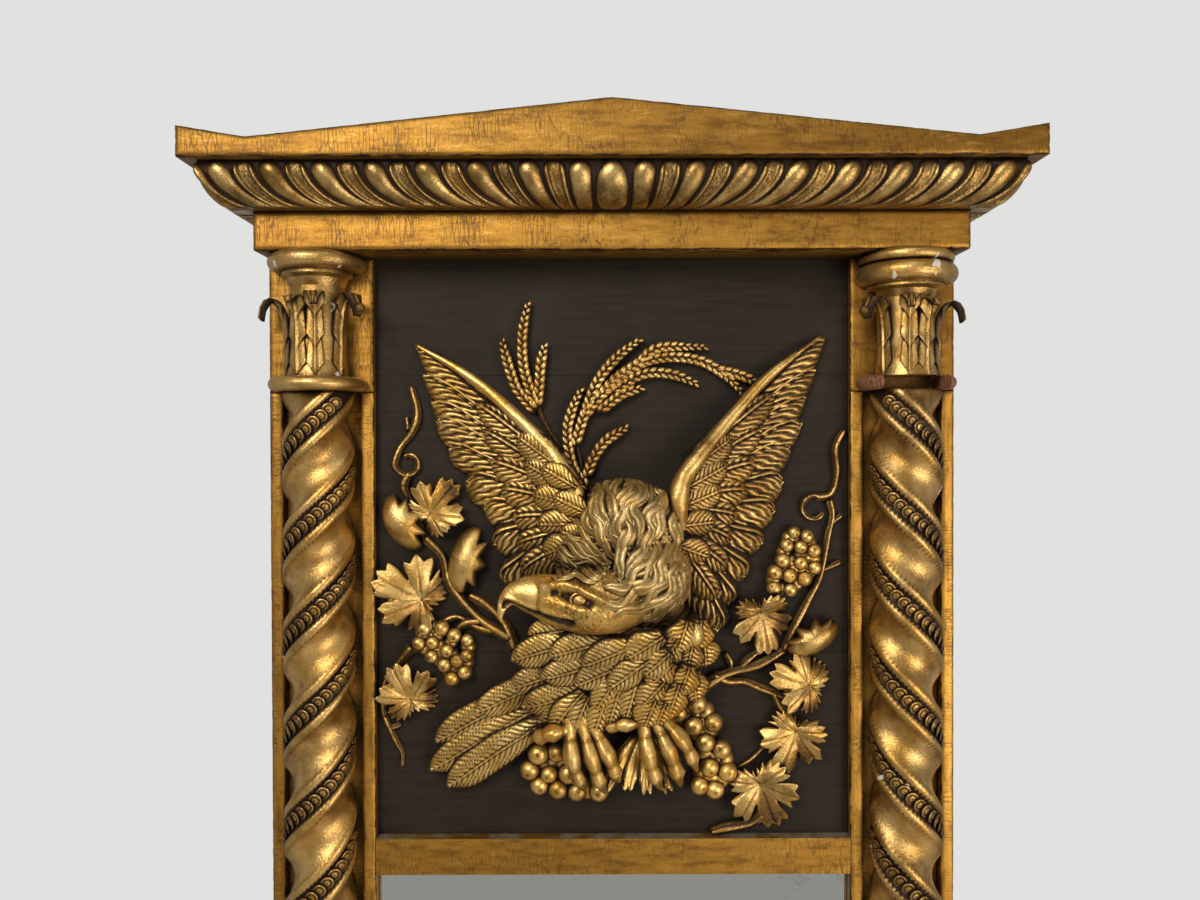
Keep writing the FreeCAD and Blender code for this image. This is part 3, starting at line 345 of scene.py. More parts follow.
def carved_gilding(name, gold, dull, light, rough, chips=False):
    """Water gilding on carved wood, with toning, wear and painted light and shade.

    The eye sees ridges paler towards bright gold, partly wear and partly a painted highlight, brown toning in
    the hollows with painted shade in recesses, under parts and in narrow corners, and, with chips, flakes of
    white ground.
    """
    material, tree, place = start_material(name)
    hollow_and_shade = add(tree, "ShaderNodeAttribute", output="Fac", attribute_name="hollow_and_shade")
    tone = add(tree, "ShaderNodeAttribute", output="Fac", attribute_name="tone")
    broad = add(tree, NOISE, {"Vector": place, "Scale": 1 / (70 * MM), "Detail": 3.0, "Roughness": 0.6})
    rubbing = add(tree, NOISE, {"Vector": place, "Scale": 1 / (30 * MM), "Detail": 6.0, "Roughness": 0.6})
    fine = add(tree, NOISE, {"Vector": place, "Scale": 1 / (3 * MM), "Detail": 4.0, "Roughness": 0.6})
    ao_shade = add(tree, "ShaderNodeAmbientOcclusion", {"Distance": 16 * MM}, "AO", samples=6)
    # Depth: how deep a place lies, from the carving's own hollows and the painted shade the mesh carries,
    # from painted shade in narrow corners by ambient occlusion, and from grit
    occluded_shade = add(tree, RANGE, {"Value": ao_shade, "From Min": 0.84, "From Max": 0.3, "To Max": 0.9}, **EASED)
    grit = add(tree, RANGE, {"Value": fine, "From Min": 0.45, "To Max": 0.385})
    depth = add(tree, MATH, {0: hollow_and_shade, 1: 0.95, 2: occluded_shade}, operation="MULTIPLY_ADD", use_clamp=True)
    depth = add(tree, MATH, {0: depth, 1: grit}, operation="ADD", use_clamp=True)
    # Gold in two shades, paler where hands and cloths reach the ridges, which is also a painted highlight,
    # and brown toning with painted shade where they don't
    patch = add(tree, RANGE, {"Value": broad, "From Min": 0.35, "From Max": 0.68}, **EASED)
    own = add(tree, RANGE, {"Value": tone, "From Min": 0.5, "To Max": 0.4}, **EASED)
    ridge = add(tree, RANGE, {"Value": depth, "From Min": 0.34, "From Max": 0.0}, **EASED)
    worn = add(tree, RANGE, {"Value": rubbing, "From Min": 0.3, "From Max": 0.72, "To Max": 0.9}, **EASED)
    rubbed_and_highlight = add(tree, MATH, {0: ridge, 1: worn}, operation="MULTIPLY")
    toned_and_shaded = add(tree, RANGE, {"Value": depth, "From Min": 0.14, "From Max": 0.62}, **EASED)
    colour = linear(gold)
    for mask, shown in ((patch, dull), (own, dull), (rubbed_and_highlight, light), (toned_and_shaded, settings().umber_toning_and_shade)):
        colour = add(tree, MIX, {FACTOR: mask, FIRST: colour, SECOND: linear(shown)}, **BLEND)
    lost = toned_and_shaded
    if chips:
        flakes = add(tree, NOISE, {"Vector": place, "Scale": 1 / (26 * MM), "Detail": 2.0, "Roughness": 0.4})
        chip = add(tree, RANGE, {"Value": flakes, "From Min": 0.74, "From Max": 0.75})
        colour = add(tree, MIX, {FACTOR: chip, FIRST: colour, SECOND: linear("#d9d2c4")}, **BLEND)
        lost = add(tree, MATH, {0: toned_and_shaded, 1: chip}, operation="MAXIMUM")
    metal = add(tree, RANGE, {"Value": lost, "To Min": 0.85, "To Max": 0.1})
    matt = add(tree, RANGE, {"Value": toned_and_shaded, "To Min": rough, "To Max": rough + 0.4})
    matt = add(tree, MATH, {0: fine, 1: 0.1, 2: matt}, operation="MULTIPLY_ADD")
    surface = {"Base Color": colour, "Metallic": metal, "Roughness": matt, "Specular IOR Level": 0.3,
               "Coat Weight": 0.08, "Coat Roughness": 0.25}
    end_material(tree, surface, fine, 0.6 * MM)
    return material


def board_gilding(name, gold, shaded, smudged, along_grain, across_grain):
    """Gilding on planed boards; their backs are left as bare wood.

    The eye sees long brown smudges along the grain, hairline cracks across it, dark edges that are partly
    worn and partly painted shade, painted shade in corners by ambient occlusion, and dust on ledges. The two
    scales draw the patterns out along the grain and across it.
    """
    material, tree, place = start_material(name)
    lengthwise = add(tree, "ShaderNodeMapping", {"Vector": place, "Scale": along_grain})
    crosswise = add(tree, "ShaderNodeMapping", {"Vector": place, "Scale": across_grain})
    hollow_and_shade = add(tree, "ShaderNodeAttribute", output="Fac", attribute_name="hollow_and_shade")
    broad = add(tree, NOISE, {"Vector": lengthwise, "Scale": 1 / (90 * MM), "Detail": 6.0, "Roughness": 0.65})
    streak = add(tree, NOISE, {"Vector": lengthwise, "Scale": 1 / (9 * MM), "Detail": 6.0, "Roughness": 0.7})
    flakes = add(tree, NOISE, {"Vector": lengthwise, "Scale": 1 / (5 * MM), "Detail": 6.0, "Roughness": 0.6})
    spread = add(tree, NOISE, {"Vector": place, "Scale": 1 / (50 * MM), "Detail": 3.0, "Roughness": 0.6})
    fine = add(tree, NOISE, {"Vector": place, "Scale": 1 / (2.5 * MM), "Detail": 4.0, "Roughness": 0.6})
    cell = add(tree, "ShaderNodeTexVoronoi", {"Vector": crosswise, "Scale": 1 / settings().crackle},
               feature="DISTANCE_TO_EDGE")
    ao_shade = add(tree, "ShaderNodeAmbientOcclusion", {"Distance": 30 * MM}, "AO", samples=6)
    normal = add(tree, "ShaderNodeNewGeometry", output="Normal")
    backward = add(tree, "ShaderNodeSeparateXYZ", {"Vector": normal}, "Y")
    upward = add(tree, "ShaderNodeSeparateXYZ", {"Vector": normal}, "Z")
    # Masks: brown smudges, bright streaks, cracks in patches, edges darkened by wear and painted shade,
    # painted shade in corners, bare backs, dust
    shade = add(tree, RANGE, {"Value": broad, "From Min": 0.35, "From Max": 0.68}, **EASED)
    smudge = add(tree, RANGE, {"Value": streak, "From Min": 0.44, "From Max": 0.68, "To Max": 0.75}, **EASED)
    bright = add(tree, RANGE, {"Value": streak, "From Min": 0.44, "From Max": 0.3, "To Max": 0.55}, **EASED)
    hairline = add(tree, RANGE, {"Value": cell, "From Min": 0.1, "From Max": 0.0, "To Max": 0.6}, **EASED)
    crazed = add(tree, RANGE, {"Value": spread, "From Min": 0.36, "From Max": 0.6}, **EASED)
    crack = add(tree, MATH, {0: hairline, 1: crazed}, operation="MULTIPLY")
    flaked = add(tree, RANGE, {"Value": flakes, "From Min": 0.42, "To Max": 0.81})
    # Painted shade and wear: the rims the mesh marks, with flakes, and the corners that ambient occlusion
    # finds, take the toning colour
    edge = add(tree, MATH, {0: hollow_and_shade, 1: flaked}, operation="ADD")
    edge = add(tree, RANGE, {"Value": edge, "From Min": 0.6, "From Max": 0.9}, **EASED)
    corner = add(tree, RANGE, {"Value": ao_shade, "From Min": 0.6, "From Max": 0.2, "To Max": 0.85}, **EASED)
    dark = add(tree, MATH, {0: edge, 1: corner}, operation="MAXIMUM")
    bare = add(tree, RANGE, {"Value": backward, "From Min": 0.5, "From Max": 0.9})
    ledge = add(tree, RANGE, {"Value": upward, "From Min": 0.7, "From Max": 0.95, "To Max": 0.9})
    dust = add(tree, MATH, {0: ledge, 1: crazed}, operation="MULTIPLY")
    wood = add(tree, MIX, {FACTOR: streak, FIRST: linear("#5f4629"), SECOND: linear("#a08059")}, **BLEND)
    coats = ((shade, linear(shaded)), (smudge, linear(smudged)), (bright, linear("#c79c50")),
             (crack, linear("#3f280e")), (dark, linear(settings().umber_toning_and_shade)), (bare, wood),
             (dust, linear("#8b8375")))
    colour = linear(gold)
    for mask, shown in coats:
        colour = add(tree, MIX, {FACTOR: mask, FIRST: colour, SECOND: shown}, **BLEND)
    lost = add(tree, MATH, {0: dark, 1: crack}, operation="MAXIMUM")
    plain = add(tree, MATH, {0: bare, 1: dust}, operation="MAXIMUM")
    lost = add(tree, MATH, {0: lost, 1: plain}, operation="MAXIMUM")
    metal = add(tree, RANGE, {"Value": lost, "To Min": 0.75, "To Max": 0.1})
    rough = add(tree, RANGE, {"Value": fine, "To Min": 0.36, "To Max": 0.56})
    relief = add(tree, MATH, {0: crack, 1: -0.7, 2: fine}, operation="MULTIPLY_ADD")
    surface = {"Base Color": colour, "Metallic": metal, "Roughness": rough, "Specular IOR Level": 0.3}
    end_material(tree, surface, relief, 0.2 * MM)
    return material


def stained_panel(name):
    """Planed boards with a dark stain: faint grain along the boards and a paler bloom of dust."""
    material, tree, place = start_material(name)
    lengthwise = add(tree, "ShaderNodeMapping", {"Vector": place, "Scale": (0.06, 1.0, 1.0)})
    grain = add(tree, NOISE, {"Vector": lengthwise, "Scale": 1 / (5 * MM), "Detail": 6.0, "Roughness": 0.6})
    broad = add(tree, NOISE, {"Vector": place, "Scale": 1 / (160 * MM), "Detail": 3.0, "Roughness": 0.6})
    fine = add(tree, NOISE, {"Vector": place, "Scale": 1 / (1.5 * MM), "Detail": 3.0, "Roughness": 0.6})
    line = add(tree, RANGE, {"Value": grain, "From Min": 0.3, "From Max": 0.75}, **EASED)
    bloom = add(tree, RANGE, {"Value": broad, "From Min": 0.45, "From Max": 0.7, "To Max": 0.5}, **EASED)
    stain = linear(settings().panel)
    colour = add(tree, MIX, {FACTOR: line, FIRST: linear("#1e1712"), SECOND: stain}, **BLEND)
    colour = add(tree, MIX, {FACTOR: bloom, FIRST: colour, SECOND: linear("#352b22")}, **BLEND)
    rough = add(tree, RANGE, {"Value": grain, "To Min": 0.5, "To Max": 0.7})
    relief = add(tree, MATH, {0: grain, 1: fine}, operation="ADD")
    surface = {"Base Color": colour, "Roughness": rough, "Specular IOR Level": 0.2}
    end_material(tree, surface, relief, 0.25 * MM)
    return material


def bare_wood(name, along_grain):
    """Sawn softwood without a finish: long grain, darker streaks and grey age."""
    material, tree, place = start_material(name)
    lengthwise = add(tree, "ShaderNodeMapping", {"Vector": place, "Scale": along_grain})
    grain = add(tree, NOISE, {"Vector": lengthwise, "Scale": 1 / (6 * MM), "Detail": 6.0, "Roughness": 0.6})
    broad = add(tree, NOISE, {"Vector": place, "Scale": 1 / (120 * MM), "Detail": 3.0, "Roughness": 0.6})
    line = add(tree, RANGE, {"Value": grain, "From Min": 0.25, "From Max": 0.75}, **EASED)
    age = add(tree, RANGE, {"Value": broad, "From Min": 0.45, "From Max": 0.7, "To Max": 0.6}, **EASED)
    colour = add(tree, MIX, {FACTOR: line, FIRST: linear("#755737"), SECOND: linear("#9d7c56")}, **BLEND)
    colour = add(tree, MIX, {FACTOR: age, FIRST: colour, SECOND: linear("#7d7062")}, **BLEND)
    end_material(tree, {"Base Color": colour, "Roughness": 0.75}, grain, 0.4 * MM)
    return material


def silvered_glass(name):
    """Glass silvered on its back: a clear reflection with grey foxing clouds."""
    material, tree, place = start_material(name)
    cloud = add(tree, NOISE, {"Vector": place, "Scale": 1 / (70 * MM), "Detail": 6.0, "Roughness": 0.7})
    speck = add(tree, NOISE, {"Vector": place, "Scale": 1 / (6 * MM), "Detail": 4.0, "Roughness": 0.6})
    where = add(tree, RANGE, {"Value": cloud, "From Min": 0.58, "From Max": 0.72}, **EASED)
    spots = add(tree, RANGE, {"Value": speck, "From Min": 0.45, "From Max": 0.65}, **EASED)
    fox = add(tree, MATH, {0: where, 1: spots}, operation="MULTIPLY")
    colour = add(tree, MIX, {FACTOR: fox, FIRST: linear("#dfe2df"), SECOND: linear("#7f7a70")}, **BLEND)
    rough = add(tree, RANGE, {"Value": fox, "To Min": 0.02, "To Max": 0.37})
    end_material(tree, {"Base Color": colour, "Metallic": 1.0, "Roughness": rough}, cloud, 0.02 * MM)
    return material


def forged_iron(name):
    """Forged iron: dark scale with rust in patches."""
    material, tree, place = start_material(name)
    scale = add(tree, NOISE, {"Vector": place, "Scale": 1 / (12 * MM), "Detail": 5.0, "Roughness": 0.6})
    rust = add(tree, RANGE, {"Value": scale, "From Min": 0.5, "From Max": 0.68}, **EASED)
    colour = add(tree, MIX, {FACTOR: rust, FIRST: linear("#3b3733"), SECOND: linear("#6a3d22")}, **BLEND)
    end_material(tree, {"Base Color": colour, "Metallic": 0.7, "Roughness": 0.55}, scale, 0.3 * MM)
    return material


def broken_bole(name):
    """Where a moulding broke away: red-brown bole and torn wood fibres, no gold."""
    material, tree, place = start_material(name)
    lengthwise = add(tree, "ShaderNodeMapping", {"Vector": place, "Scale": (1.0, 1.0, 0.2)})
    fibre = add(tree, NOISE, {"Vector": lengthwise, "Scale": 1 / (2.5 * MM), "Detail": 5.0, "Roughness": 0.6})
    torn = add(tree, RANGE, {"Value": fibre, "From Min": 0.35, "From Max": 0.65}, **EASED)
    colour = add(tree, MIX, {FACTOR: torn, FIRST: linear("#5e3a26"), SECOND: linear("#a06f52")}, **BLEND)
    end_material(tree, {"Base Color": colour, "Roughness": 0.7}, fibre, 0.6 * MM)
    return material


# How far a board's patterns are drawn out: smudges lying or standing, cracks upright or across
LYING, STANDING = (0.22, 1.0, 1.0), (1.0, 1.0, 0.22)
CRACKS_UP, CRACKS_ACROSS = (1.0, 1.0, 0.13), (0.13, 1.0, 1.0)


def make_materials():
    s = settings()
    return {
        "carving": carved_gilding("carved_gilding", s.gold, "#967130", s.gold_rubbed_highlight, 0.28),
        "pale": carved_gilding("rubbed_gilding", "#d8ae58", "#9e7a3a", "#f8de9e", 0.3),
        "mane": carved_gilding("greyed_gilding", "#b69454", "#7e673c", "#e8cd94", 0.36),
        "column": carved_gilding("column_gilding", "#b0873f", "#785626", "#dfbb7b", 0.28, True),
        "leaf": carved_gilding("leaf_gilding", "#b2873c", "#7a5828", "#ebca84", 0.3),
        "gadroon": carved_gilding("gadroon_gilding", "#88652c", "#5e441f", "#d8b879", 0.26),
        "across": board_gilding(
            "board_gilding_across", s.gold_board, "#8a6224", "#63431b", LYING, CRACKS_UP),
        "beam": board_gilding("board_gilding_beam", "#ac8034", "#986d29", "#6d4c1d", LYING, CRACKS_UP),
        "upright": board_gilding(
            "board_gilding_upright", "#d0a048", "#a87a31", "#7a5523", STANDING, CRACKS_ACROSS),
        "panel": stained_panel("stained_panel"),
        "bare": bare_wood("bare_wood_upright", (1.0, 1.0, 0.05)),
        "bare_across": bare_wood("bare_wood_across", (0.05, 1.0, 1.0)),
        "glass": silvered_glass("silvered_glass"),
        "iron": forged_iron("forged_iron"),
        "broken": broken_bole("broken_bole"),
    }


MATERIALS = {}


# Boards

# The pediment's ears and valleys: heights over its foot, and how far in the valleys lie
EAR, VALLEY, VALLEY_IN = 35.0, 22.0, 77.5


def worn_board(carving, lo, hi, outline=None, cells=6.0, round_by=1.6, chip=1.2):
    """A board with its front edges rounded and unevenly worn; outline gives its top as places (x, height)."""
    x0, y0, z0 = lo
    x1, y1, z1 = hi
    columns = max(4, int((x1 - x0) / cells))
    rows = max(4, int((z1 - z0) / cells))
    inner = np.array([0.0, 0.25, 0.6, 1.0]) * 3 * round_by
    start = 4 * round_by
    xs = np.concatenate([x0 + inner, np.linspace(x0 + start, x1 - start, columns), x1 - inner[::-1]])
    zs = np.concatenate([z0 + inner, np.linspace(z0 + start, z1 - start, rows), z1 - inner[::-1]])
    z, x = np.meshgrid(zs, xs, indexing="ij")
    top = np.full_like(x, z1)
    if outline:
        top = np.interp(x, *zip(*outline))
        z = z0 + (z - z0) / (z1 - z0) * (top - z0)
    rim = np.minimum(np.minimum(x - x0, x1 - x), np.minimum(z - z0, top - z))
    chips = chip * RANDOM.random(x.shape) ** 4
    drop = np.where(rim < 3 * round_by, (1 - rim / (3 * round_by)) ** 2 * (round_by + chips), 0)
    front = np.stack([x, y0 + drop, z], axis=-1)
    back = np.stack([x, np.full_like(x, y1), z], axis=-1)
    # Painted shade along the rims, partly worn edges: the last 4 mm darken
    hollow_and_shade = smooth(4.0, 0.0, rim) * 0.75
    carving.shell(front, back, hollow_and_shade, 0.5, 0.0)


class TRUMEAU_OT_boards(bpy.types.Operator):
    """Flat gilded boards with worn edges, and finishes for the pieces that stay as they are."""
    bl_idname = "trumeau.boards"
    bl_label = "Boards"

    def execute(self, context):
        strips = ("left_outer_strip", "left_inner_strip", "right_inner_strip", "right_outer_strip")
        beams = ("frieze_board", "left_capital_board", "right_capital_board", "left_plinth_block",
                 "right_plinth_block")
        for kind, nodes in (("upright", strips), ("beam", beams)):
            for node in nodes:
                carving = Carving(to_frame)
                worn_board(carving, *corners(node))
                carving.finish(node + "_worn", MATERIALS[kind], "gilt_board", node)
        low, high = corners("pediment_board")
        half, valley = high[0], high[0] - VALLEY_IN
        outline = [(-half, low[2] + EAR), (-valley, low[2] + VALLEY), (0, high[2]),
                   (valley, low[2] + VALLEY), (half, low[2] + EAR)]
        carving = Carving(to_frame)
        worn_board(carving, low, high, outline)
        carving.finish("pediment_worn", MATERIALS["across"], "gilt_board", "pediment_board")
        finishes = {"gilt_board": "across", "gilt_carving": "carving", "gilt_column": "column",
                    "bare_wood": "bare", "dark_panel": "panel", "silvered_glass": "glass", "iron": "iron"}
        own = {"left_stile": "upright", "right_stile": "upright", "middle_rail": "beam",
               "bottom_rail": "beam", "right_astragal_ends": "broken", "top_rail": "bare_across",
               "cornice_core": "bare_across", "cornice_soffit": "bare_across"}
        slots = {part["node"]: part["material_slot"] for part in frame["record"]["subparts"]}
        for name, node in frame["nodes"].items():
            kind = own.get(name, finishes[slots[name]])
            for slot in node.material_slots:
                slot.material = MATERIALS[kind]
        return {"FINISHED"}


# Repeated shapes on points


def scatter_tree():
    """Nodes that put one shape on every point, turned and sized by the point's own values."""
    tree = bpy.data.node_groups.new("Shapes on points", "GeometryNodeTree")
    face = tree.interface
    face.new_socket("Points", in_out="INPUT", socket_type="NodeSocketGeometry")
    face.new_socket("Shape", in_out="INPUT", socket_type="NodeSocketObject")
    face.new_socket("Finish", in_out="INPUT", socket_type="NodeSocketMaterial")
    face.new_socket("Pieces", in_out="OUTPUT", socket_type="NodeSocketGeometry")
    given = add(tree, "NodeGroupInput").node.outputs
    shape = add(tree, "GeometryNodeObjectInfo", {"Object": given["Shape"]}, "Geometry")
    turn = add(tree, "GeometryNodeInputNamedAttribute", {"Name": "turn"}, data_type="FLOAT_VECTOR")
    size = add(tree, "GeometryNodeInputNamedAttribute", {"Name": "size"}, data_type="FLOAT_VECTOR")
    rotation = add(tree, "FunctionNodeEulerToRotation", {"Euler": turn})
    placed = add(tree, "GeometryNodeInstanceOnPoints", {
        "Points": given["Points"], "Instance": shape, "Rotation": rotation, "Scale": size})
    real = add(tree, "GeometryNodeRealizeInstances", {"Geometry": placed})
    done = add(tree, "GeometryNodeSetMaterial", {"Geometry": real, "Material": given["Finish"]})
    add(tree, "NodeGroupOutput", {"Pieces": done})
    return tree


def scatter(name, shape, places, turns, sizes, material):
    """A plain mesh of the shape on every place; turns are the axes the shape's x, y and z come to lie on."""
    cloud = bpy.data.meshes.new(name + "_points")
    cloud.from_pydata([tuple(p) for p in places], [], [])
    angles = [Matrix(np.asarray(axes).T.tolist()).to_euler() for axes in turns]
    for label, values in (("turn", angles), ("size", sizes)):
        layer = cloud.attributes.new(label, "FLOAT_VECTOR", "POINT")
        layer.data.foreach_set("vector", np.asarray([tuple(v) for v in values], float).ravel())
    carrier = bpy.data.objects.new(name + "_points", cloud)
    bpy.context.scene.collection.objects.link(carrier)
    bpy.context.scene.collection.objects.link(shape)
    tree = bpy.data.node_groups.get("Shapes on points") or scatter_tree()
    modifier = carrier.modifiers.new("Shapes", "NODES")
    modifier.node_group = tree
    sockets = {item.name: item.identifier for item in tree.interface.items_tree if item.in_out == "INPUT"}
    modifier[sockets["Shape"]] = shape
    modifier[sockets["Finish"]] = material
    graph = bpy.context.evaluated_depsgraph_get()
    mesh = bpy.data.meshes.new_from_object(carrier.evaluated_get(graph))
    carrier.modifiers.clear()
    bpy.data.objects.remove(carrier)
    bpy.data.objects.remove(shape)
    mesh.shade_smooth()
    return bpy.data.objects.new(name, mesh)


# Columns

# A band's half width and its fillet's width as angles, and how deep the cove and the coins' channel lie
BAND_HALF = math.radians(43)
FILLET = math.radians(19)
HOLLOW_DEPTH = 12.0
CHANNEL_DEPTH = 4.0

# How far a band climbs in one turn, and a height where it faces the front
LEAD = 226.0
BAND_Z = 1306.5

# How fine the shaft's mesh is: the height of a row, and the sides of a ring
SHAFT_STEP, SHAFT_SIDES = 4.0, 112

# Coins: free length at the shaft's ends, lift off the channel, lean down the band, and the cosine of the
# angle from the front where they stop
COIN_FREE, COIN_LIFT, COIN_LEAN, COIN_BACK = 8, 0.6, 0.34, -0.1


def band_angle(z, side):
    """Where the first band's middle lies round a column at height z; 0 is the front."""
    return side * 2 * math.pi * (z - BAND_Z) / LEAD


class TRUMEAU_OT_columns(bpy.types.Operator):
    """Twisted shafts: two bands of coins between fillets, with a smooth cove between the bands."""
    bl_idname = "trumeau.columns"
    bl_label = "Columns"

    def execute(self, context):
        for name, x, side in (("left_column", -COLUMN_X, 1), ("right_column", COLUMN_X, -1)):
            self.shaft(name, x, side)
            self.coins(name, x, side)
        return {"FINISHED"}

    def shaft(self, name, x, side):
        """The twisted body of a column, flat at its back."""
        zs = np.linspace(SHAFT_LOW, SHAFT_HIGH, int((SHAFT_HIGH - SHAFT_LOW) / SHAFT_STEP))
        angles = np.linspace(-math.pi, math.pi, SHAFT_SIDES, endpoint=False)
        z, angle = np.meshgrid(zs, angles, indexing="ij")
        from_band = (angle - band_angle(z, side) + math.pi / 2) % math.pi - math.pi / 2
        reach = np.abs(from_band)
        cove = np.sin(np.clip((reach - BAND_HALF) / (math.pi / 2 - BAND_HALF), 0, 1) * math.pi / 2)
        channel = smooth(BAND_HALF - FILLET + 0.03, BAND_HALF - FILLET - 0.03, reach)
        radius = COLUMN_R - HOLLOW_DEPTH * cove ** 0.7 - CHANNEL_DEPTH * channel
        px = x + radius * np.sin(angle)
        py = np.minimum(COLUMN_Y - radius * np.cos(angle), COLUMN_BACK)
        # Painted shade beside each fillet where the cove starts, and in the channel under the coins
        step_shade = 0.45 * np.exp(-((reach - BAND_HALF - 0.04) / 0.05) ** 2) + channel
        carving = Carving(to_frame)
        carving.tube(np.stack([px, py, z], axis=-1), np.clip(step_shade * 0.8, 0, 1), 0.3)
        carving.finish(name + "_shaft", MATERIALS["column"], "gilt_column", name)

    def coins(self, name, x, side):
        """Coins that overlap like scales along both bands, where the column shows."""
        s = settings()
        radius = COLUMN_R - CHANNEL_DEPTH
        rise = (s.coin_pitch / MM) * LEAD / math.hypot(LEAD, 2 * math.pi * radius)
        places, turns, sizes = [], [], []
        for start in (0.0, LEAD / 2):
            for z in np.arange(SHAFT_LOW + COIN_FREE, SHAFT_HIGH - COIN_FREE, rise):
                angle = band_angle(z - start, side)
                if math.cos(angle) < COIN_BACK:
                    continue
                outward = np.array([math.sin(angle), -math.cos(angle), 0.0])
                round_way = np.array([math.cos(angle), math.sin(angle), 0.0]) * side
                up_band = round_way * 2 * math.pi * radius / LEAD + np.array([0, 0, 1.0])
                up_band /= np.linalg.norm(up_band)
                tilted = outward - COIN_LEAN * up_band
                tilted /= np.linalg.norm(tilted)
                across = np.cross(tilted, up_band)
                across /= np.linalg.norm(across)
                places.append((np.array([x, COLUMN_Y, z]) + outward * (radius + COIN_LIFT)) * MM)
                turns.append((across, np.cross(tilted, across), tilted))
                sizes.append((s.coin_diameter,) * 3)
        piece = scatter(name + "_coins", self.coin(), places, turns, sizes, MATERIALS["column"])
        settle(piece, "gilt_column")

    def coin(self):
        """A disc of width 1 with a raised rim and a boss in its middle."""
        radius = np.array([0.5, 0.45, 0.3, 0.14])[:, None]
        height = np.array([0.0, 0.15, 0.1, 0.18])[:, None]
        # Painted shade at the disc's foot and in the ring between its rim and boss
        depth = np.array([0.9, 0.0, 0.6, 0.0])[:, None]
        turn = ring(12)[None]
        rings = np.broadcast_arrays(radius * np.cos(turn), radius * np.sin(turn), height)
        carving = Carving(np.asarray)
        carving.tube(np.stack(rings, axis=-1), depth, 0.5)
        return carving.body("coin", MATERIALS["column"])


# Gadroon

# A lobe and a flute make one pitch; they lean by the sweep; the egg's ground is a little wider than the egg
LOBE_PITCH = 59.0
LOBE_SWEEP = 80.0
LOBE_RISE = 8.0
EGG_HALF = 19.5
EGG_GROUND = EGG_HALF + 3

# How far the carved lengths reach into the core behind them, and how far they stay off the wall
GADROON_SEAT, RETURN_SEAT, WALL_GAP = 10.0, 2.0, 0.5

# How fine their meshes are
GADROON_ROWS, FRONT_COLUMNS, RETURN_COLUMNS = 40, 840, 150


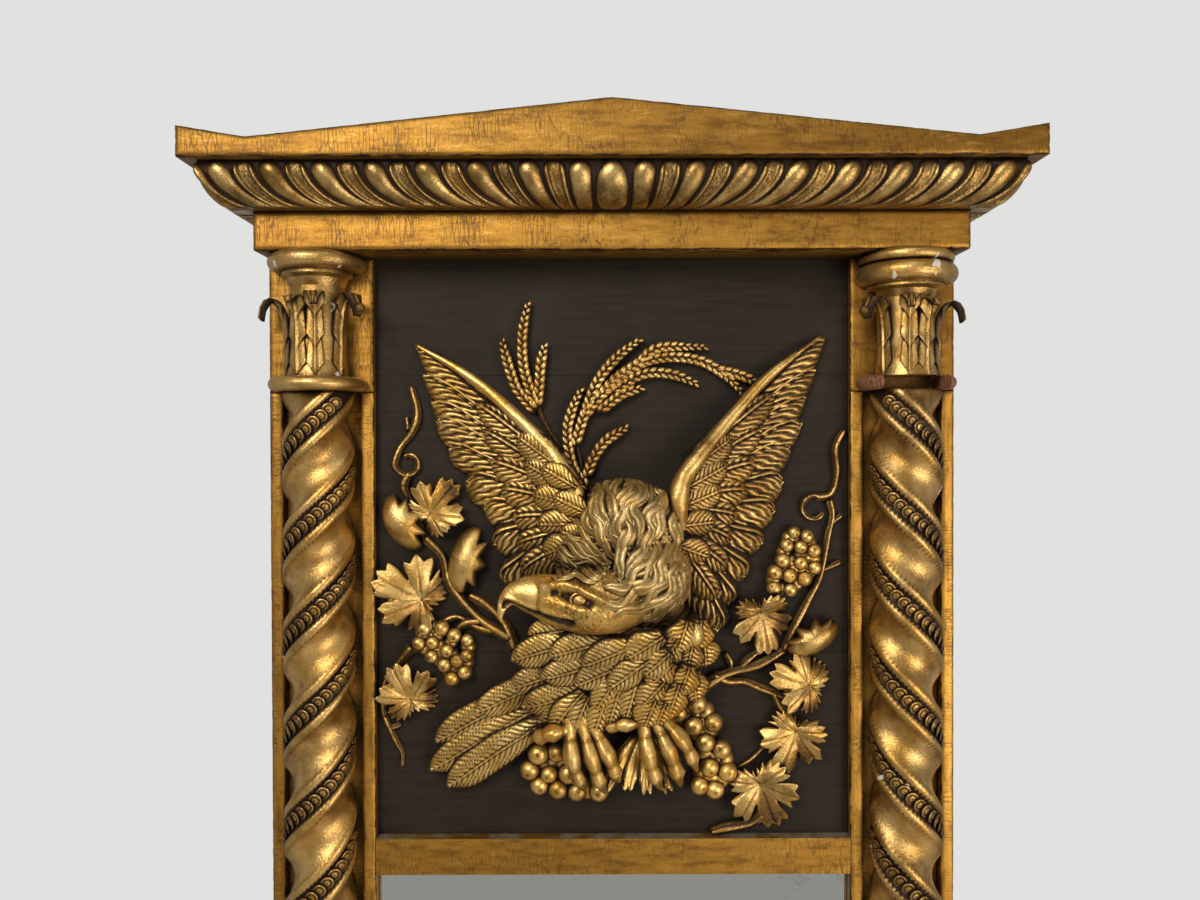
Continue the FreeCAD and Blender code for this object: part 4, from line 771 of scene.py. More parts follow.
class TRUMEAU_OT_gadroon(bpy.types.Operator):
    """Smooth lobes and edged flutes in turn, swept towards an egg in the middle and round the corners."""
    bl_idname = "trumeau.gadroon"
    bl_label = "Gadroon"

    def execute(self, context):
        depth = FRIEZE_FACE - GADROON_FRONT - LOBE_RISE
        quarter = (0, math.pi / 2, GADROON_ROWS)
        turn, across = grid(quarter, (-1, 1, FRONT_COLUMNS))
        speckle = RANDOM.random(turn.shape)
        mitre = HALF_FRIEZE + depth * np.sin(turn)
        rise, hollow_and_shade = self.relief(turn, np.abs(across) * mitre, speckle)
        by_corner = smooth(0.985, 1.0, np.abs(across))
        x = across * mitre + np.sign(across) * rise * np.sin(turn) * by_corner
        y = FRIEZE_FACE - (depth + rise) * np.sin(turn)
        self.run("gadroon_front", turn, rise, hollow_and_shade, (x, y), (x, FRIEZE_FACE + GADROON_SEAT))
        turn, share = grid(quarter, (0, 1, RETURN_COLUMNS))
        mitre = HALF_FRIEZE + depth * np.sin(turn)
        length = depth * np.sin(turn) - FRIEZE_FACE
        rise, hollow_and_shade = self.relief(turn, mitre + share * length, speckle[:, :RETURN_COLUMNS])
        by_corner = smooth(0.1, 0.0, share)
        x = mitre + rise * np.sin(turn)
        y = (share - 1) * length - WALL_GAP * share - rise * np.sin(turn) * by_corner
        for side, way in (("left", -1), ("right", 1)):
            behind = (way * (HALF_FRIEZE - RETURN_SEAT), y)
            self.run("gadroon_" + side + "_return", turn, rise, hollow_and_shade, (way * x, y), behind)
        return {"FINISHED"}

    def relief(self, turn, away, speckle):
        """How far lobes, flutes and egg rise, and how deep a place lies, away from the middle."""
        t = turn / (math.pi / 2)
        sweep = LOBE_SWEEP * (1 - t) ** 2.1 * np.clip((away - EGG_HALF) / 110, 0, 1)
        cell = ((away + sweep - EGG_GROUND) / LOBE_PITCH) % 1.0
        in_lobe = cell < 0.5
        lobe = np.sin(np.clip(cell / 0.5, 0, 1) * math.pi) ** 0.6
        share = np.clip((cell - 0.5) / 0.5, 0, 1)
        edges = np.exp(-((share - 0.17) / 0.11) ** 2) + np.exp(-((share - 0.83) / 0.11) ** 2)
        flute = 0.85 * edges + 0.35 * np.sin(share * math.pi)
        egg = np.sqrt(np.maximum(1 - (away / EGG_HALF) ** 2 - ((t - 0.52) / 0.5) ** 2, 0))
        by_egg = away < EGG_GROUND
        shown = np.where(by_egg, 1.3 * egg, np.where(in_lobe, lobe, flute))
        own = np.where(in_lobe, cell / 0.5, share)
        top = 0.82 + 0.18 * np.sin(own * math.pi) ** 0.6
        heads = np.sqrt(np.maximum(1 - (np.maximum(t - top + 0.2, 0) / 0.2) ** 2, 0))
        rise = LOBE_RISE * shown * smooth(0.0, 0.3, t) * np.where(by_egg, 1, heads)
        # Painted shade in the lines between lobes and flutes, where the lobes' heads round off, round the egg
        # and along the top edge under the top board; random grit in the flutes
        groove = sum(np.exp(-((cell - line) / 0.035) ** 2) for line in (0, 0.5, 1))
        trough = 0.3 * np.clip(1 - edges, 0, 1) * speckle * ~in_lobe
        carved = 0.8 * groove + trough + smooth(0.5, 0.1, heads)
        hollow_and_shade = np.where(by_egg, 1 - np.clip(egg * 3, 0, 1), carved) + 0.8 * smooth(0.96, 1.0, t)
        return rise, np.clip(hollow_and_shade, 0, 1)

    def run(self, name, turn, rise, hollow_and_shade, face, behind):
        """One length of the moulding between the places (x, y) of its face and of its back."""
        tall = GADROON_HIGH - GADROON_LOW
        z = GADROON_LOW + tall * (1 - np.cos(turn)) - 0.8 * rise * np.cos(turn)
        front = np.stack([*face, np.maximum(z, GADROON_LOW)], axis=-1)
        up = GADROON_LOW + tall * turn / (math.pi / 2)
        back = np.stack(np.broadcast_arrays(*behind, up), axis=-1)
        carving = Carving(to_frame)
        carving.shell(front, back, hollow_and_shade, 0.4)
        carving.finish(name + "_carved", MATERIALS["gadroon"], "gilt_column", name)


# Capitals

BELL_R = 36.0
LEAF_THICK = 4.0
BUD_R = 6.0

# Leaves of a capital: turn from the front in degrees (outwards positive), height, width, curl of the tip
ACANTHUS = ((70, 94, 32, 1.0), (24, 96, 30, 0.35), (-12, 100, 24, 0.6), (-62, 100, 26, 1.0))

# A leaf's profile: shares of its length, how far it stands off the bell there, and shares of its height
LEAF_MARKS = (0, 0.5, 0.66, 0.76, 0.84, 0.9, 0.95, 1.0)
LEAF_REACH = np.array([1, 2, 5, 10, 17, 24, 29, 31])
LEAF_CLIMB = (0, 0.58, 0.79, 0.91, 0.98, 1)


class TRUMEAU_OT_capitals(bpy.types.Operator):
    """Acanthus leaves that climb the bells; some tips curl over."""
    bl_idname = "trumeau.capitals"
    bl_label = "Capitals"

    def execute(self, context):
        for side, way, share in (("left", -1, 1.0), ("right", 1, 0.94)):
            carving = Carving(to_frame)
            foot = corners(side + "_acanthus")[0][2]
            for turn, height, width, curl in ACANTHUS:
                angle = math.radians(way * turn)
                tip = self.leaf(carving, way * COLUMN_X, angle, foot, height * share, width, curl)
                if turn < -45:
                    self.bud(carving, tip)
            carving.finish(side + "_acanthus_leaves", MATERIALS["leaf"], "gilt_column", side + "_acanthus")
        return {"FINISHED"}

    def bud(self, carving, centre):
        """A small ball that closes the curl of a leaf's tip."""
        carving.tube(centre + BUD_R * ball(10, 16, 0.1, 0.1)[0], 0.35, 0.9)

    def leaf(self, carving, x, turn, foot, height, width, curl):
        """One leaf on the bell: stepped lobes on both sides, a middle rib, and a tip that bends outwards."""
        t, s = grid((0, 1, 96), (-1, 1, 25))
        reach = BELL_R + np.interp(t, LEAF_MARKS, LEAF_REACH * (0.25 + 0.75 * curl))
        up = height * np.interp(t, LEAF_MARKS, (*LEAF_CLIMB, 1 - 0.1 * curl, 1 - 0.24 * curl))
        lobe = (t * 3.4 - 0.5 * np.abs(s)) % 1.0
        half = width / 2 * (0.62 + 0.38 * (1 - lobe) ** 0.6) * (1 - 0.65 * smooth(0.86, 1.0, t))
        fold = 2.6 * np.exp(-(s / 0.16) ** 2) + 2.4 * np.abs(s) * (1 - lobe) - 1.2 * np.abs(s) ** 3
        reach = reach + fold
        angle = turn + s * half / (BELL_R + 6)
        front = np.stack([x + reach * np.sin(angle), COLUMN_Y - reach * np.cos(angle), foot + up], axis=-1)
        inner = reach - LEAF_THICK
        lower = foot + up - LEAF_THICK * smooth(0.8, 1.0, t) * curl
        back = np.stack([x + inner * np.sin(angle), COLUMN_Y - inner * np.cos(angle), lower], axis=-1)
        # Painted shade in the steps between lobes, along the rims, in two channels and on the tips that bend
        # over
        step_shade = smooth(0.8, 1.0, lobe) * np.abs(s)
        hollow_and_shade = step_shade + 0.5 * np.abs(s) ** 8 + 0.3 * np.exp(-((np.abs(s) - 0.3) / 0.1) ** 2)
        hollow_and_shade += 0.2 * smooth(0.72, 0.9, t)
        carving.shell(front, back, np.clip(hollow_and_shade, 0, 1), None, 0.6)
        return front[-3, 12]


# Feathers


def feather(carving, root, tip, width, thick, pitch, roll, bend, fan, point, lean=0.0):
    """One carved feather from root to tip on the panel: camber, a thin shaft and slanting round barbs.

    roll tilts it over its neighbour, bend sways the shaft, fan makes the barbs spread, point draws the tip
    out, and lean sets the shaft off towards one edge.
    """
    root, tip = np.asarray(root, float), np.asarray(tip, float)
    length = np.linalg.norm(tip - root)
    ahead = (tip - root) / length
    up = np.array([0, 0, 1.0]) - ahead * ahead[2]
    up /= np.linalg.norm(up)
    flat = np.cross(up, ahead)
    outward = up * math.cos(roll) + flat * math.sin(roll)
    side = flat * math.cos(roll) - up * math.sin(roll)
    rows = max(18, int(length / (pitch * 0.16)))
    bold = 1 + abs(lean)
    t, s = grid((0, 1, rows), (-1, 1, int(23 * bold)))
    half = width / 2
    round_from = 1 - min(0.62, (0.9 + fan + 2.2 * point) * half / length)
    end = np.maximum(t - round_from, 0) / (1 - round_from)
    tip_curve = np.maximum(1 - end ** 2, 0) ** (0.5 + 0.35 * point)
    reach = half * (0.45 + 0.55 * smooth(0, 0.55, t)) * np.maximum(tip_curve, 0.03)
    y = s * reach
    off = np.abs(s - lean) * reach
    slant = 1.5 - 0.8 * fan
    uneven = 0.15 * np.sin(off * 0.4 + t * 7) + 0.1 * np.sin(t * length / 9)
    phase = (t * length - off * slant) / pitch + uneven + RANDOM.random()
    groove = (1 - np.abs(np.sin(math.pi * phase))) ** 1.5
    on_vane = smooth(0.04, 0.14, np.abs(s - lean)) * smooth(0.0, 0.1, t) * (1 - 0.7 * np.abs(s) ** 5)
    shaft = np.exp(-(off / (1.1 * bold)) ** 2) * (1 - smooth(0.85, 1.0, t))
    beside = np.exp(-((off - 2.2 * bold) / (0.9 * bold)) ** 2) * (1 - smooth(0.85, 1.0, t))
    height = thick * (1 - 0.7 * np.abs(s) ** 2.6) - 0.29 * pitch * groove * on_vane
    height += bold ** 2 * (0.5 * shaft - 0.8 * beside)
    height -= thick * 0.5 * smooth(0.85, 1.0, t)
    sway = bend * length * 4 * t * (1 - t)
    spine = root + (t * length)[..., None] * ahead + (y + sway)[..., None] * side
    front = spine + height[..., None] * outward
    back = spine - 2.5 * outward
    # Painted shade in the barbs' grooves, beside the shaft, along the edges and at the root
    hollow_and_shade = 0.6 * groove * on_vane + 0.5 * bold * beside
    hollow_and_shade += 0.9 * np.abs(s) ** 10 + 0.3 * (1 - smooth(0.0, 0.3, t))
    carving.shell(front, back, np.clip(hollow_and_shade, 0, 1))


# Tilt of a feather over its neighbour
SHINGLE = math.radians(11)

# Rows of a wing's feathers, long ones first: lines of the tips and of the roots, how many, width, thickness,
# how far roots and tips stand out, barb pitch against the setting, and bend, fan, point and lean
LEFT_ROWS = (
    (((-247, 256), (-240, 216), (-226, 181), (-217, 152), (-193, 103), (-166, 58), (-153, 14), (-137, -39)),
     ((-66, 112), (-72, 72), (-62, 20)), 9, 48, 9, (18, 8), 1.8, 0.03, 0.0, 1.0, 0.73),
    (((-172, 184), (-158, 128), (-134, 76), (-118, 22), (-112, -27)),
     ((-62, 104), (-52, 60), (-55, 10)), 7, 40, 8, (31, 20), 1.3, 0.02, 0.3, 0.6, 0.36),
    (((-118, 142), (-106, 96), (-92, 50), (-84, -4)),
     ((-54, 98), (-42, 58), (-44, 14)), 5, 40, 8, (42, 30), 0.8, 0.0, 0.6, 0.0, 0.0),
    (((-84, 106), (-72, 68), (-66, 28)),
     ((-42, 80), (-26, 48), (-26, 12)), 3, 34, 8, (50, 41), 0.7, 0.0, 0.7, 0.0, 0.0))
RIGHT_ROWS = (
    (((264, 265), (254, 214), (240, 172), (230, 140), (214, 84), (202, 37), (183, -13), (152, -63),
      (133, -106)),
     ((92, 110), (88, 60), (85, 0)), 11, 48, 9, (18, 8), 1.8, 0.03, 0.0, 1.0, 0.73),
    (((202, 194), (184, 132), (170, 80), (154, 35), (140, -10), (128, -62)),
     ((92, 108), (85, 60), (80, 10)), 8, 40, 8, (31, 20), 1.3, 0.02, 0.3, 0.6, 0.36),
    (((148, 140), (140, 95), (130, 50), (120, -4)),
     ((88, 98), (80, 55), (76, 10)), 5, 40, 8, (42, 30), 0.8, 0.0, 0.6, 0.0, 0.0))

# Leading edges: x, up, out and radius
LEFT_EDGE = ((-36, 40, 40, 5), (-46, 76, 43, 10), (-70, 116, 38, 10), (-112, 160, 30, 8), (-174, 214, 22, 6),
             (-246, 257, 10, 2))
RIGHT_EDGE = ((86, 26, 42, 5), (80, 58, 48, 13), (86, 90, 48, 11), (110, 121, 41, 10), (148, 165, 30, 8),
              (197, 217, 19, 6), (263, 266, 9, 2))


class TRUMEAU_OT_wings(bpy.types.Operator):
    """Both raised wings: long feathers under rows of coverts, and a smooth leading edge."""
    bl_idname = "trumeau.wings"
    bl_label = "Wings"

    def execute(self, context):
        wings = (("left", 1, LEFT_ROWS, LEFT_EDGE, "carving"), ("right", -1, RIGHT_ROWS, RIGHT_EDGE, "leaf"))
        for side, way, rows, edge, finish in wings:
            carving = Carving(to_panel)
            for row in rows:
                self.row(carving, way, *row)
            self.edge(carving, np.array(edge))
            carving.finish(side + "_wing_feathers", MATERIALS[finish], "gilt_carving", side + "_wing")
        return {"FINISHED"}

    def row(self, carving, way, tips, roots, count, width, thick, outs, pitch, bend, fan, point, lean):
        """Feathers whose tips and roots follow two lines; the point fades from the wing's tip to its body."""
        pitch = pitch * settings().barb_pitch / MM
        for i in range(count):
            share = i / (count - 1)
            root = (*along(roots, share), outs[0])
            tip = (*(along(tips, share) + RANDOM.normal(0, 1.5, 2)), outs[1])
            wide = width * (1 + RANDOM.normal(0, 0.06))
            sharp = point * max(0.0, 1 - 2.0 * share)
            wide = wide * (1 - 0.2 * sharp)
            roll = way * SHINGLE
            feather(carving, root, tip, wide, thick, pitch, roll, way * bend, fan, sharp, -way * lean)

    def edge(self, carving, stations):
        """A smooth rounded edge with faint ripples through stations on the panel."""
        steps, sides = 80, 24
        fit = spline(stations, steps)
        ripples = 1 + 0.03 * np.sin(np.linspace(0, 40, steps))[:, None] * np.cos(3 * ring(sides))[None]
        carving.tube(path_rings(fit[:, :3], fit[:, 3], fit[:, 3], sides, ripples), 0.0, 0.2)


# Head and mane

# Stations of the head from the neck to the beak: x, up, half height, half depth, out
HEAD = np.array([
    (50, -46, 14, 10, 54), (34, -48, 30, 24, 62), (8, -53, 37, 35, 70), (-16, -56, 38, 38, 72),
    (-40, -57, 35, 35, 72), (-62, -54, 31, 29, 72), (-84, -49, 27, 22, 72), (-102, -46.5, 22, 17, 72),
    (-116, -47, 16, 12.5, 72), (-126, -52, 10, 9, 72), (-132, -62, 6, 6, 72), (-134, -73, 3.2, 3.5, 72),
    (-133, -80, 0.8, 0.8, 72)])

# Lines that the locks follow from the top of the mane, at the left of the neck first
MANE = (
    ((-32, 68), (-26, 53), (-30, 37), (-21, 21), (-5, 10), (8, -6), (-4, -22)),
    ((-15, 83), (-17, 66), (-6, 50), (-5, 31), (7, 13), (14, -8), (2, -26)),
    ((4, 89), (1, 72), (13, 54), (15, 34), (17, 13), (20, -9), (6, -28)),
    ((23, 89), (23, 72), (15, 57), (26, 38), (22, 13), (25, -8), (9, -26)),
    ((40, 84), (43, 66), (32, 48), (30, 30), (38, 9), (30, -13), (14, -29), (-8, -37)),
    ((55, 77), (58, 59), (49, 41), (50, 23), (46, 4), (45, -13), (30, -31), (8, -42), (-14, -48)),
    ((67, 65), (66, 47), (67, 29), (61, 12), (63, -7), (56, -26), (39, -44), (17, -57), (-10, -63)),
    ((75, 50), (81, 32), (74, 15), (79, -5), (72, -24), (63, -44), (44, -64), (21, -77), (-8, -81)),
    ((85, 28), (88, 10), (82, -8), (83, -25), (76, -42), (67, -59), (53, -77), (32, -90), (8, -93)),
    ((90, 6), (92, -14), (87, -32), (84, -50), (77, -66), (66, -84), (48, -98), (24, -101)),
)

# Width and lift of the locks below, the locks on top and the fine ones; and the waves' length, sway and rise
UNDER_LOCK, OVER_LOCK, FINE_LOCK = (6.6, 0.0), (8.8, 3.8), (4.6, 2.0)
WAVE_LONG, WAVE_SWAY, WAVE_RISE = 42.0, 4.4, 1.6

# Fine feathers in the hollow between the left wing and the head run from one line to the other
NAPE_FROM = ((-40, 58), (-58, 30), (-68, 0), (-72, -24))
NAPE_TO = ((-2, 16), (0, 2), (0, -12), (-16, -22))

# Lines on the face: the mouth, the brow, the dip under it that takes painted shade, the fold under the eye,
# the knob and the nostril behind the beak, the edge of the beak's skin, and the cheek
MOUTH = ((-128, -57), (-122, -58), (-104, -65), (-82, -71.5), (-62, -76), (-50, -77))
BROW = ((-72, -35), (-58, -34), (-42, -37), (-26, -43), (-8, -50))
UNDER_BROW = ((-56, -42), (-44, -45), (-28, -51))
UNDER_EYE = ((-52, -56), (-40, -60), (-28, -58))
KNOB = ((-81, -35), (-78, -35.5))
NOSTRIL = ((-71, -41), (-66, -40))
CERE = ((-92, -24), (-87, -40), (-90, -58), (-84, -68))
CHEEK = ((-30, -70), (0, -70))
EYE = np.array([-39.0, -48.5, 101.0])


def mane_surface(x, up):
    """How far the mane, the neck and the back of the head stand out of the panel."""
    upper = 20 + 60 * np.sqrt(np.maximum(1 - ((x - 22) / 60) ** 2 - ((up - 28) / 68) ** 2, 0.0))
    lower = 28 + 66 * np.sqrt(np.maximum(1 - ((x - 34) / 56) ** 2 - ((up + 32) / 60) ** 2, 0.0))
    order = HEAD[::-1]
    middle, tall, deep, out = (np.interp(x, order[3:, 0], order[3:, i]) for i in (1, 2, 3, 4))
    round_off = np.maximum(1 - ((up - middle) / tall) ** 2, 0)
    back = np.sqrt(np.maximum(1 - (np.maximum(x - 34, 0) / 34) ** 2, 0))
    head = np.where(round_off > 0, out + deep * np.sqrt(round_off) * back - 14 * (1 - back), 0)
    nape = 24 + 38 * np.sqrt(np.maximum(1 - ((x + 14) / 58) ** 2 - ((up - 6) / 56) ** 2, 0.0))
    return np.maximum(np.maximum(upper, lower), np.maximum(head, nape))


class TRUMEAU_OT_head(bpy.types.Operator):
    """The eagle's mane of wavy locks and its head turned to the left."""
    bl_idname = "trumeau.head"
    bl_label = "Head"

    def execute(self, context):
        self.mane()
        self.head()
        return {"FINISHED"}

    def mane(self):
        """A core, locks that cover it, shorter locks on top and fine feathers beside the neck."""
        carving = Carving(to_panel)
        turn, reach = grid((0, 2 * math.pi, 72), (0.02, 0.98, 30))
        x = 28 + 56 * reach * np.cos(turn)
        up = -6 + 92 * reach * np.sin(turn)
        x = np.where(x < 10, x - 30 * (10 - x) / 38 * smooth(60, 20, np.abs(up - 6)), x)
        core = np.stack([x, up, mane_surface(x, up) - 6], axis=-1)
        base = np.stack([x, up, np.full_like(x, 1.0)], axis=-1)
        # The core is fully darkened: painted shade that shows between the locks
        carving.shell(core, base, np.ones_like(x), 0.5)
        lines = [spline(guide, 40) for guide in MANE]
        under, over, fine = 24, 32, 18
        for i in range(under):
            self.lock(carving, self.between(lines, (i + 0.5) / under), 0.0, 1.0, *UNDER_LOCK)
        for i in range(over):
            start = RANDOM.choice([0.0, 0.16, 0.34, 0.52]) + RANDOM.normal(0, 0.03)
            line = self.between(lines, (i + RANDOM.random()) / over)
            self.lock(carving, line, max(start, 0.0), min(start + 0.5, 1.0), *OVER_LOCK)
        for i in range(fine):
            first, last = (along(ends, i / (fine - 1)) for ends in (NAPE_FROM, NAPE_TO))
            sagging = (first + last) / 2 + (3, -5)
            self.lock(carving, spline([first, sagging, last], 30), 0.0, 1.0, *FINE_LOCK)
        carving.finish("mane_locks", MATERIALS["mane"], "gilt_carving")

    def between(self, lines, share):
        """A line at a share of the way from the first guide to the last."""
        place = share * (len(lines) - 1)
        k = min(int(place), len(lines) - 2)
        return lines[k] * (1 - place + k) + lines[k + 1] * (place - k)

    def lock(self, carving, line, start, end, width, lift):
        """A lock of hair along part of a line: wavy, ridged, pointed at both ends."""
        steps, sides = 44, 21
        share = np.linspace(start, end, steps)
        flat = along(line, share)
        ahead = np.gradient(flat, axis=0)
        length = np.linalg.norm(ahead, axis=1).sum()
        ahead /= np.linalg.norm(ahead, axis=1)[:, None]
        side = np.stack([ahead[:, 1], -ahead[:, 0]], axis=-1)
        t = np.linspace(0, 1, steps)
        phase = RANDOM.random() * 2 * math.pi
        waves = 2 * math.pi * length / WAVE_LONG
        flat = flat + side * (WAVE_SWAY * np.sin(t * waves + phase) * smooth(0, 0.15, t))[:, None]
        swing = WAVE_RISE * np.sin(t * waves + phase + 1.2)
        out = mane_surface(flat[:, 0], flat[:, 1]) + lift + swing - 2.0
        out = np.convolve(np.pad(out, 2, mode="edge"), np.ones(5) / 5, mode="valid")
        path = lay(flat, out)
        swell = np.sin(np.clip(t * 0.96 + 0.03, 0, 1) * math.pi) ** 0.5
        turn = ring(sides)
        ridges = 1 + 0.17 * np.cos(5 * turn - math.pi / 2)
        rings = path_rings(path, width * swell + 0.3, 0.85 * width * swell + 0.3, sides, ridges)
        # Painted shade between the ridges and on the side that faces the panel; the upper side stays lighter
        hollow_and_shade = np.clip((1.12 - ridges) * 3.4 - 0.9 * np.sin(turn), 0, 1)
        carving.tube(rings, hollow_and_shade, 0.2 + 0.6 * RANDOM.random())

    def head(self):
        """The head and beak as one body, pushed in and out along the lines of the face."""
        carving = Carving(to_panel)
        rows, sides = 190, 120
        fit = spline(HEAD, rows)
        rings = path_rings(fit[:, [0, 1, 4]], fit[:, 2], fit[:, 3], sides)
        away = rings - rings.mean(axis=1, keepdims=True)
        away /= np.maximum(np.linalg.norm(away, axis=-1, keepdims=True), 1e-6)
        front = np.clip(away[..., 2] * 1.6, 0, 1)
        gape = near(rings, MOUTH, 4.2)
        upper_lip = near(rings, [(x, up + 7.5) for x, up in MOUTH], 3.2)
        lower_lip = near(rings, [(x + 4, up - 7) for x, up in MOUTH], 3.2)
        brow, under_brow = near(rings, BROW, 4.6), near(rings, UNDER_BROW, 6.0)
        nostril, cere = near(rings, NOSTRIL, 3.4), near(rings, CERE, 2.2)
        move = 8.0 * brow - 7.0 * under_brow - 4.0 * nostril - 1.4 * cere
        move += 2.0 * near(rings, UNDER_EYE, 3.0) + 4.5 * near(rings, KNOB, 6.0)
        move += 2.0 * near(rings, CHEEK, 13.0)
        move += 2.2 * upper_lip + 1.6 * lower_lip - 13.0 * gape
        on_face = smooth(-90, -60, rings[..., 0]) * smooth(10, -15, rings[..., 0])
        stipple = RANDOM.normal(0, 0.55, rings.shape[:2]) * on_face
        rings = rings + away * ((move + stipple) * front)[..., None]
        # Painted shade in the mouth, nostril, cere and stipple, under the brow, and on the underside that
        # faces the panel
        hollow_and_shade = 1.4 * gape + 0.6 * nostril + 0.35 * cere + 0.28 * np.abs(stipple)
        hollow_and_shade += 0.45 * under_brow * (1 - brow)
        under = smooth(0.15, -0.5, away[..., 2]) * 0.6
        carving.tube(rings, np.clip(hollow_and_shade * front + under, 0, 1), 0.3)
        self.eye(carving)
        carving.finish("eagle_head_carved", MATERIALS["carving"], "gilt_carving", "eagle_head")

    def eye(self, carving):
        """An eyeball with a raised pupil and a lid round it."""
        globe, down = ball(14, 24)
        for radius, lift in ((9.0, 0.0), (4.4, 3.6)):
            shaped = EYE + globe * radius * (1.0, 0.8, 0.6) + (0, 0, lift)
            # Painted shade round the eyeball, away from its front
            carving.tube(shaped, smooth(0.7, 0.2, np.cos(down)), 0.1)
        angle = np.linspace(0.2, 2 * math.pi - 0.2, 40)
        lid = np.stack([np.cos(angle) * 10.5, np.sin(angle) * 8.2, np.full(40, 0.5)], axis=-1) + EYE
        carving.tube(path_rings(lid, np.full(40, 1.5), np.full(40, 1.8), 10), 0.0, 0.1)


# Body, tail and feet

# Feathers of the tail, flank, belly, breast and thigh: root, tip, and how far the root and the tip stand out
TAIL = (((-69, -150), (-172, -200), 34, 26), ((-78, -168), (-223, -241), 24, 14),
        ((-76, -186), (-230, -277), 22, 12), ((-66, -200), (-208, -297), 26, 14))
FLANK = (((-20, -130), (-128, -168), 44, 34), ((3, -150), (-112, -190), 50, 38),
         ((-4, -168), (-92, -210), 48, 36))
BELLY = (((-36, -166), (-76, -218), 52, 40), ((-30, -170), (-50, -224), 56, 42),
         ((-8, -166), (-26, -224), 58, 44), ((12, -146), (-6, -208), 62, 48),
         ((30, -140), (14, -202), 64, 50), ((8, -136), (-24, -190), 66, 54))
BREAST = (((-44, -88), (-103, -98), 56, 48), ((-36, -104), (-124, -130), 58, 46),
          ((-4, -100), (-78, -122), 68, 58), ((-10, -124), (-88, -150), 62, 50),
          ((30, -102), (-38, -132), 76, 66), ((22, -126), (-46, -158), 70, 58),
          ((42, -122), (-8, -160), 76, 66), ((58, -92), (14, -122), 84, 74),
          ((66, -112), (34, -142), 80, 70))
THIGH = (((86, -76), (74, -116), 76, 68), ((104, -78), (100, -116), 62, 56),
         ((62, -176), (52, -208), 60, 48), ((50, -172), (36, -210), 62, 50),
         ((96, -142), (100, -182), 54, 40), ((78, -154), (64, -200), 62, 50),
         ((60, -150), (30, -186), 68, 56), ((70, -126), (40, -158), 72, 62),
         ((90, -132), (76, -172), 64, 52), ((76, -98), (52, -132), 74, 64),
         ((108, -102), (112, -140), 52, 40), ((95, -104), (88, -146), 62, 50))

# Rounded bodies under the feathers: x, up, half width, half height, depth, and how far out they start
BREAST_MOUND = (18, -118, 68, 78, 54, 0)
THIGH_MOUND = (80, -126, 34, 58, 34, 18)
BELLY_MOUND = (-24, -160, 40, 54, 36, 8)
KNEE = (98, -96, 14, 19, 22, 54)
PLUME_THICK = 9


class TRUMEAU_OT_body(bpy.types.Operator):
    """Breast and thigh with scalloped feathers, the flank and the long tail."""
    bl_idname = "trumeau.body"
    bl_label = "Body and tail"

    def execute(self, context):
        pitch = settings().barb_pitch / MM
        body = Carving(to_panel)
        for mound in (BREAST_MOUND, THIGH_MOUND, BELLY_MOUND):
            self.mound(body, *mound)
        self.plume(body, THIGH, 44, pitch * 0.75, 1.0, 0.0)
        self.mound(body, *KNEE)
        body.finish("eagle_body_feathers", MATERIALS["carving"], "gilt_carving", "eagle_body")
        tail = Carving(to_panel)
        self.plume(tail, TAIL, 44, pitch * 1.1, 0.0, 0.5)
        self.plume(tail, FLANK, 44, pitch, 0.2, 0.3)
        tail.finish("eagle_tail_feathers", MATERIALS["pale"], "gilt_carving", "eagle_tail")
        breast = Carving(to_panel)
        self.plume(breast, BELLY, 36, pitch * 0.9, 0.5, 0.2)
        self.plume(breast, BREAST, 44, pitch * 0.85, 0.6, 0.2)
        breast.finish("eagle_breast_feathers", MATERIALS["pale"], "gilt_carving")
        return {"FINISHED"}

    def plume(self, carving, feathers, width, pitch, fan, point):
        """Feathers of one kind, each a little wider or narrower than the next and slightly bent."""
        for root, tip, root_out, tip_out in feathers:
            ends = (*root, root_out), (*tip, tip_out)
            wide = width * (1 + RANDOM.normal(0, 0.05))
            bend = RANDOM.normal(0, 0.02)
            feather(carving, *ends, wide, PLUME_THICK, pitch, SHINGLE, bend, fan, point)

    def mound(self, carving, x, up, half_wide, half_tall, deep, out):
        """A rounded body that stands on the panel."""
        turn, reach = grid((0, 2 * math.pi, 64), (0.01, 1, 26))
        px, pu = x + half_wide * reach * np.cos(turn), up + half_tall * reach * np.sin(turn)
        flat = np.stack([px, pu], axis=-1)
        top = lay(flat, out + deep * np.sqrt(np.maximum(1 - reach ** 2, 0)) + 0.5)
        base = lay(flat, np.full_like(reach, 0.2))
        # Painted shade near the rim, where the mound meets the panel
        carving.shell(top, base, smooth(0.7, 1.0, reach) * 0.6, 0.5)


# Toes of the left and the right foot from knuckle to claw, with their radii
TOES = ((((-54, -202), (-48, -256), (-33, -299)), 11.0), (((-40, -204), (-24, -256), (-10, -301)), 11.0),
        (((-28, -206), (-5, -250), (8, -287)), 10.5), (((-52, -216), (-78, -219), (-102, -232)), 11.0),
        (((36, -200), (44, -252), (60, -297)), 11.0), (((48, -200), (70, -246), (84, -293)), 11.0),
        (((58, -200), (86, -232), (104, -274)), 10.5), (((40, -206), (10, -208), (-18, -217)), 9.5))

# A toe's thickness along it: shares of its length and of its radius; and how far out its three places stand
TOE_MARKS = (0, 0.2, 0.42, 0.58, 0.74, 0.84, 0.94, 1)
TOE_SIZES = (0.9, 0.72, 1.0, 0.72, 0.9, 0.5, 0.34, 0.06)
TOE_OUTS = (44, 54, 38)


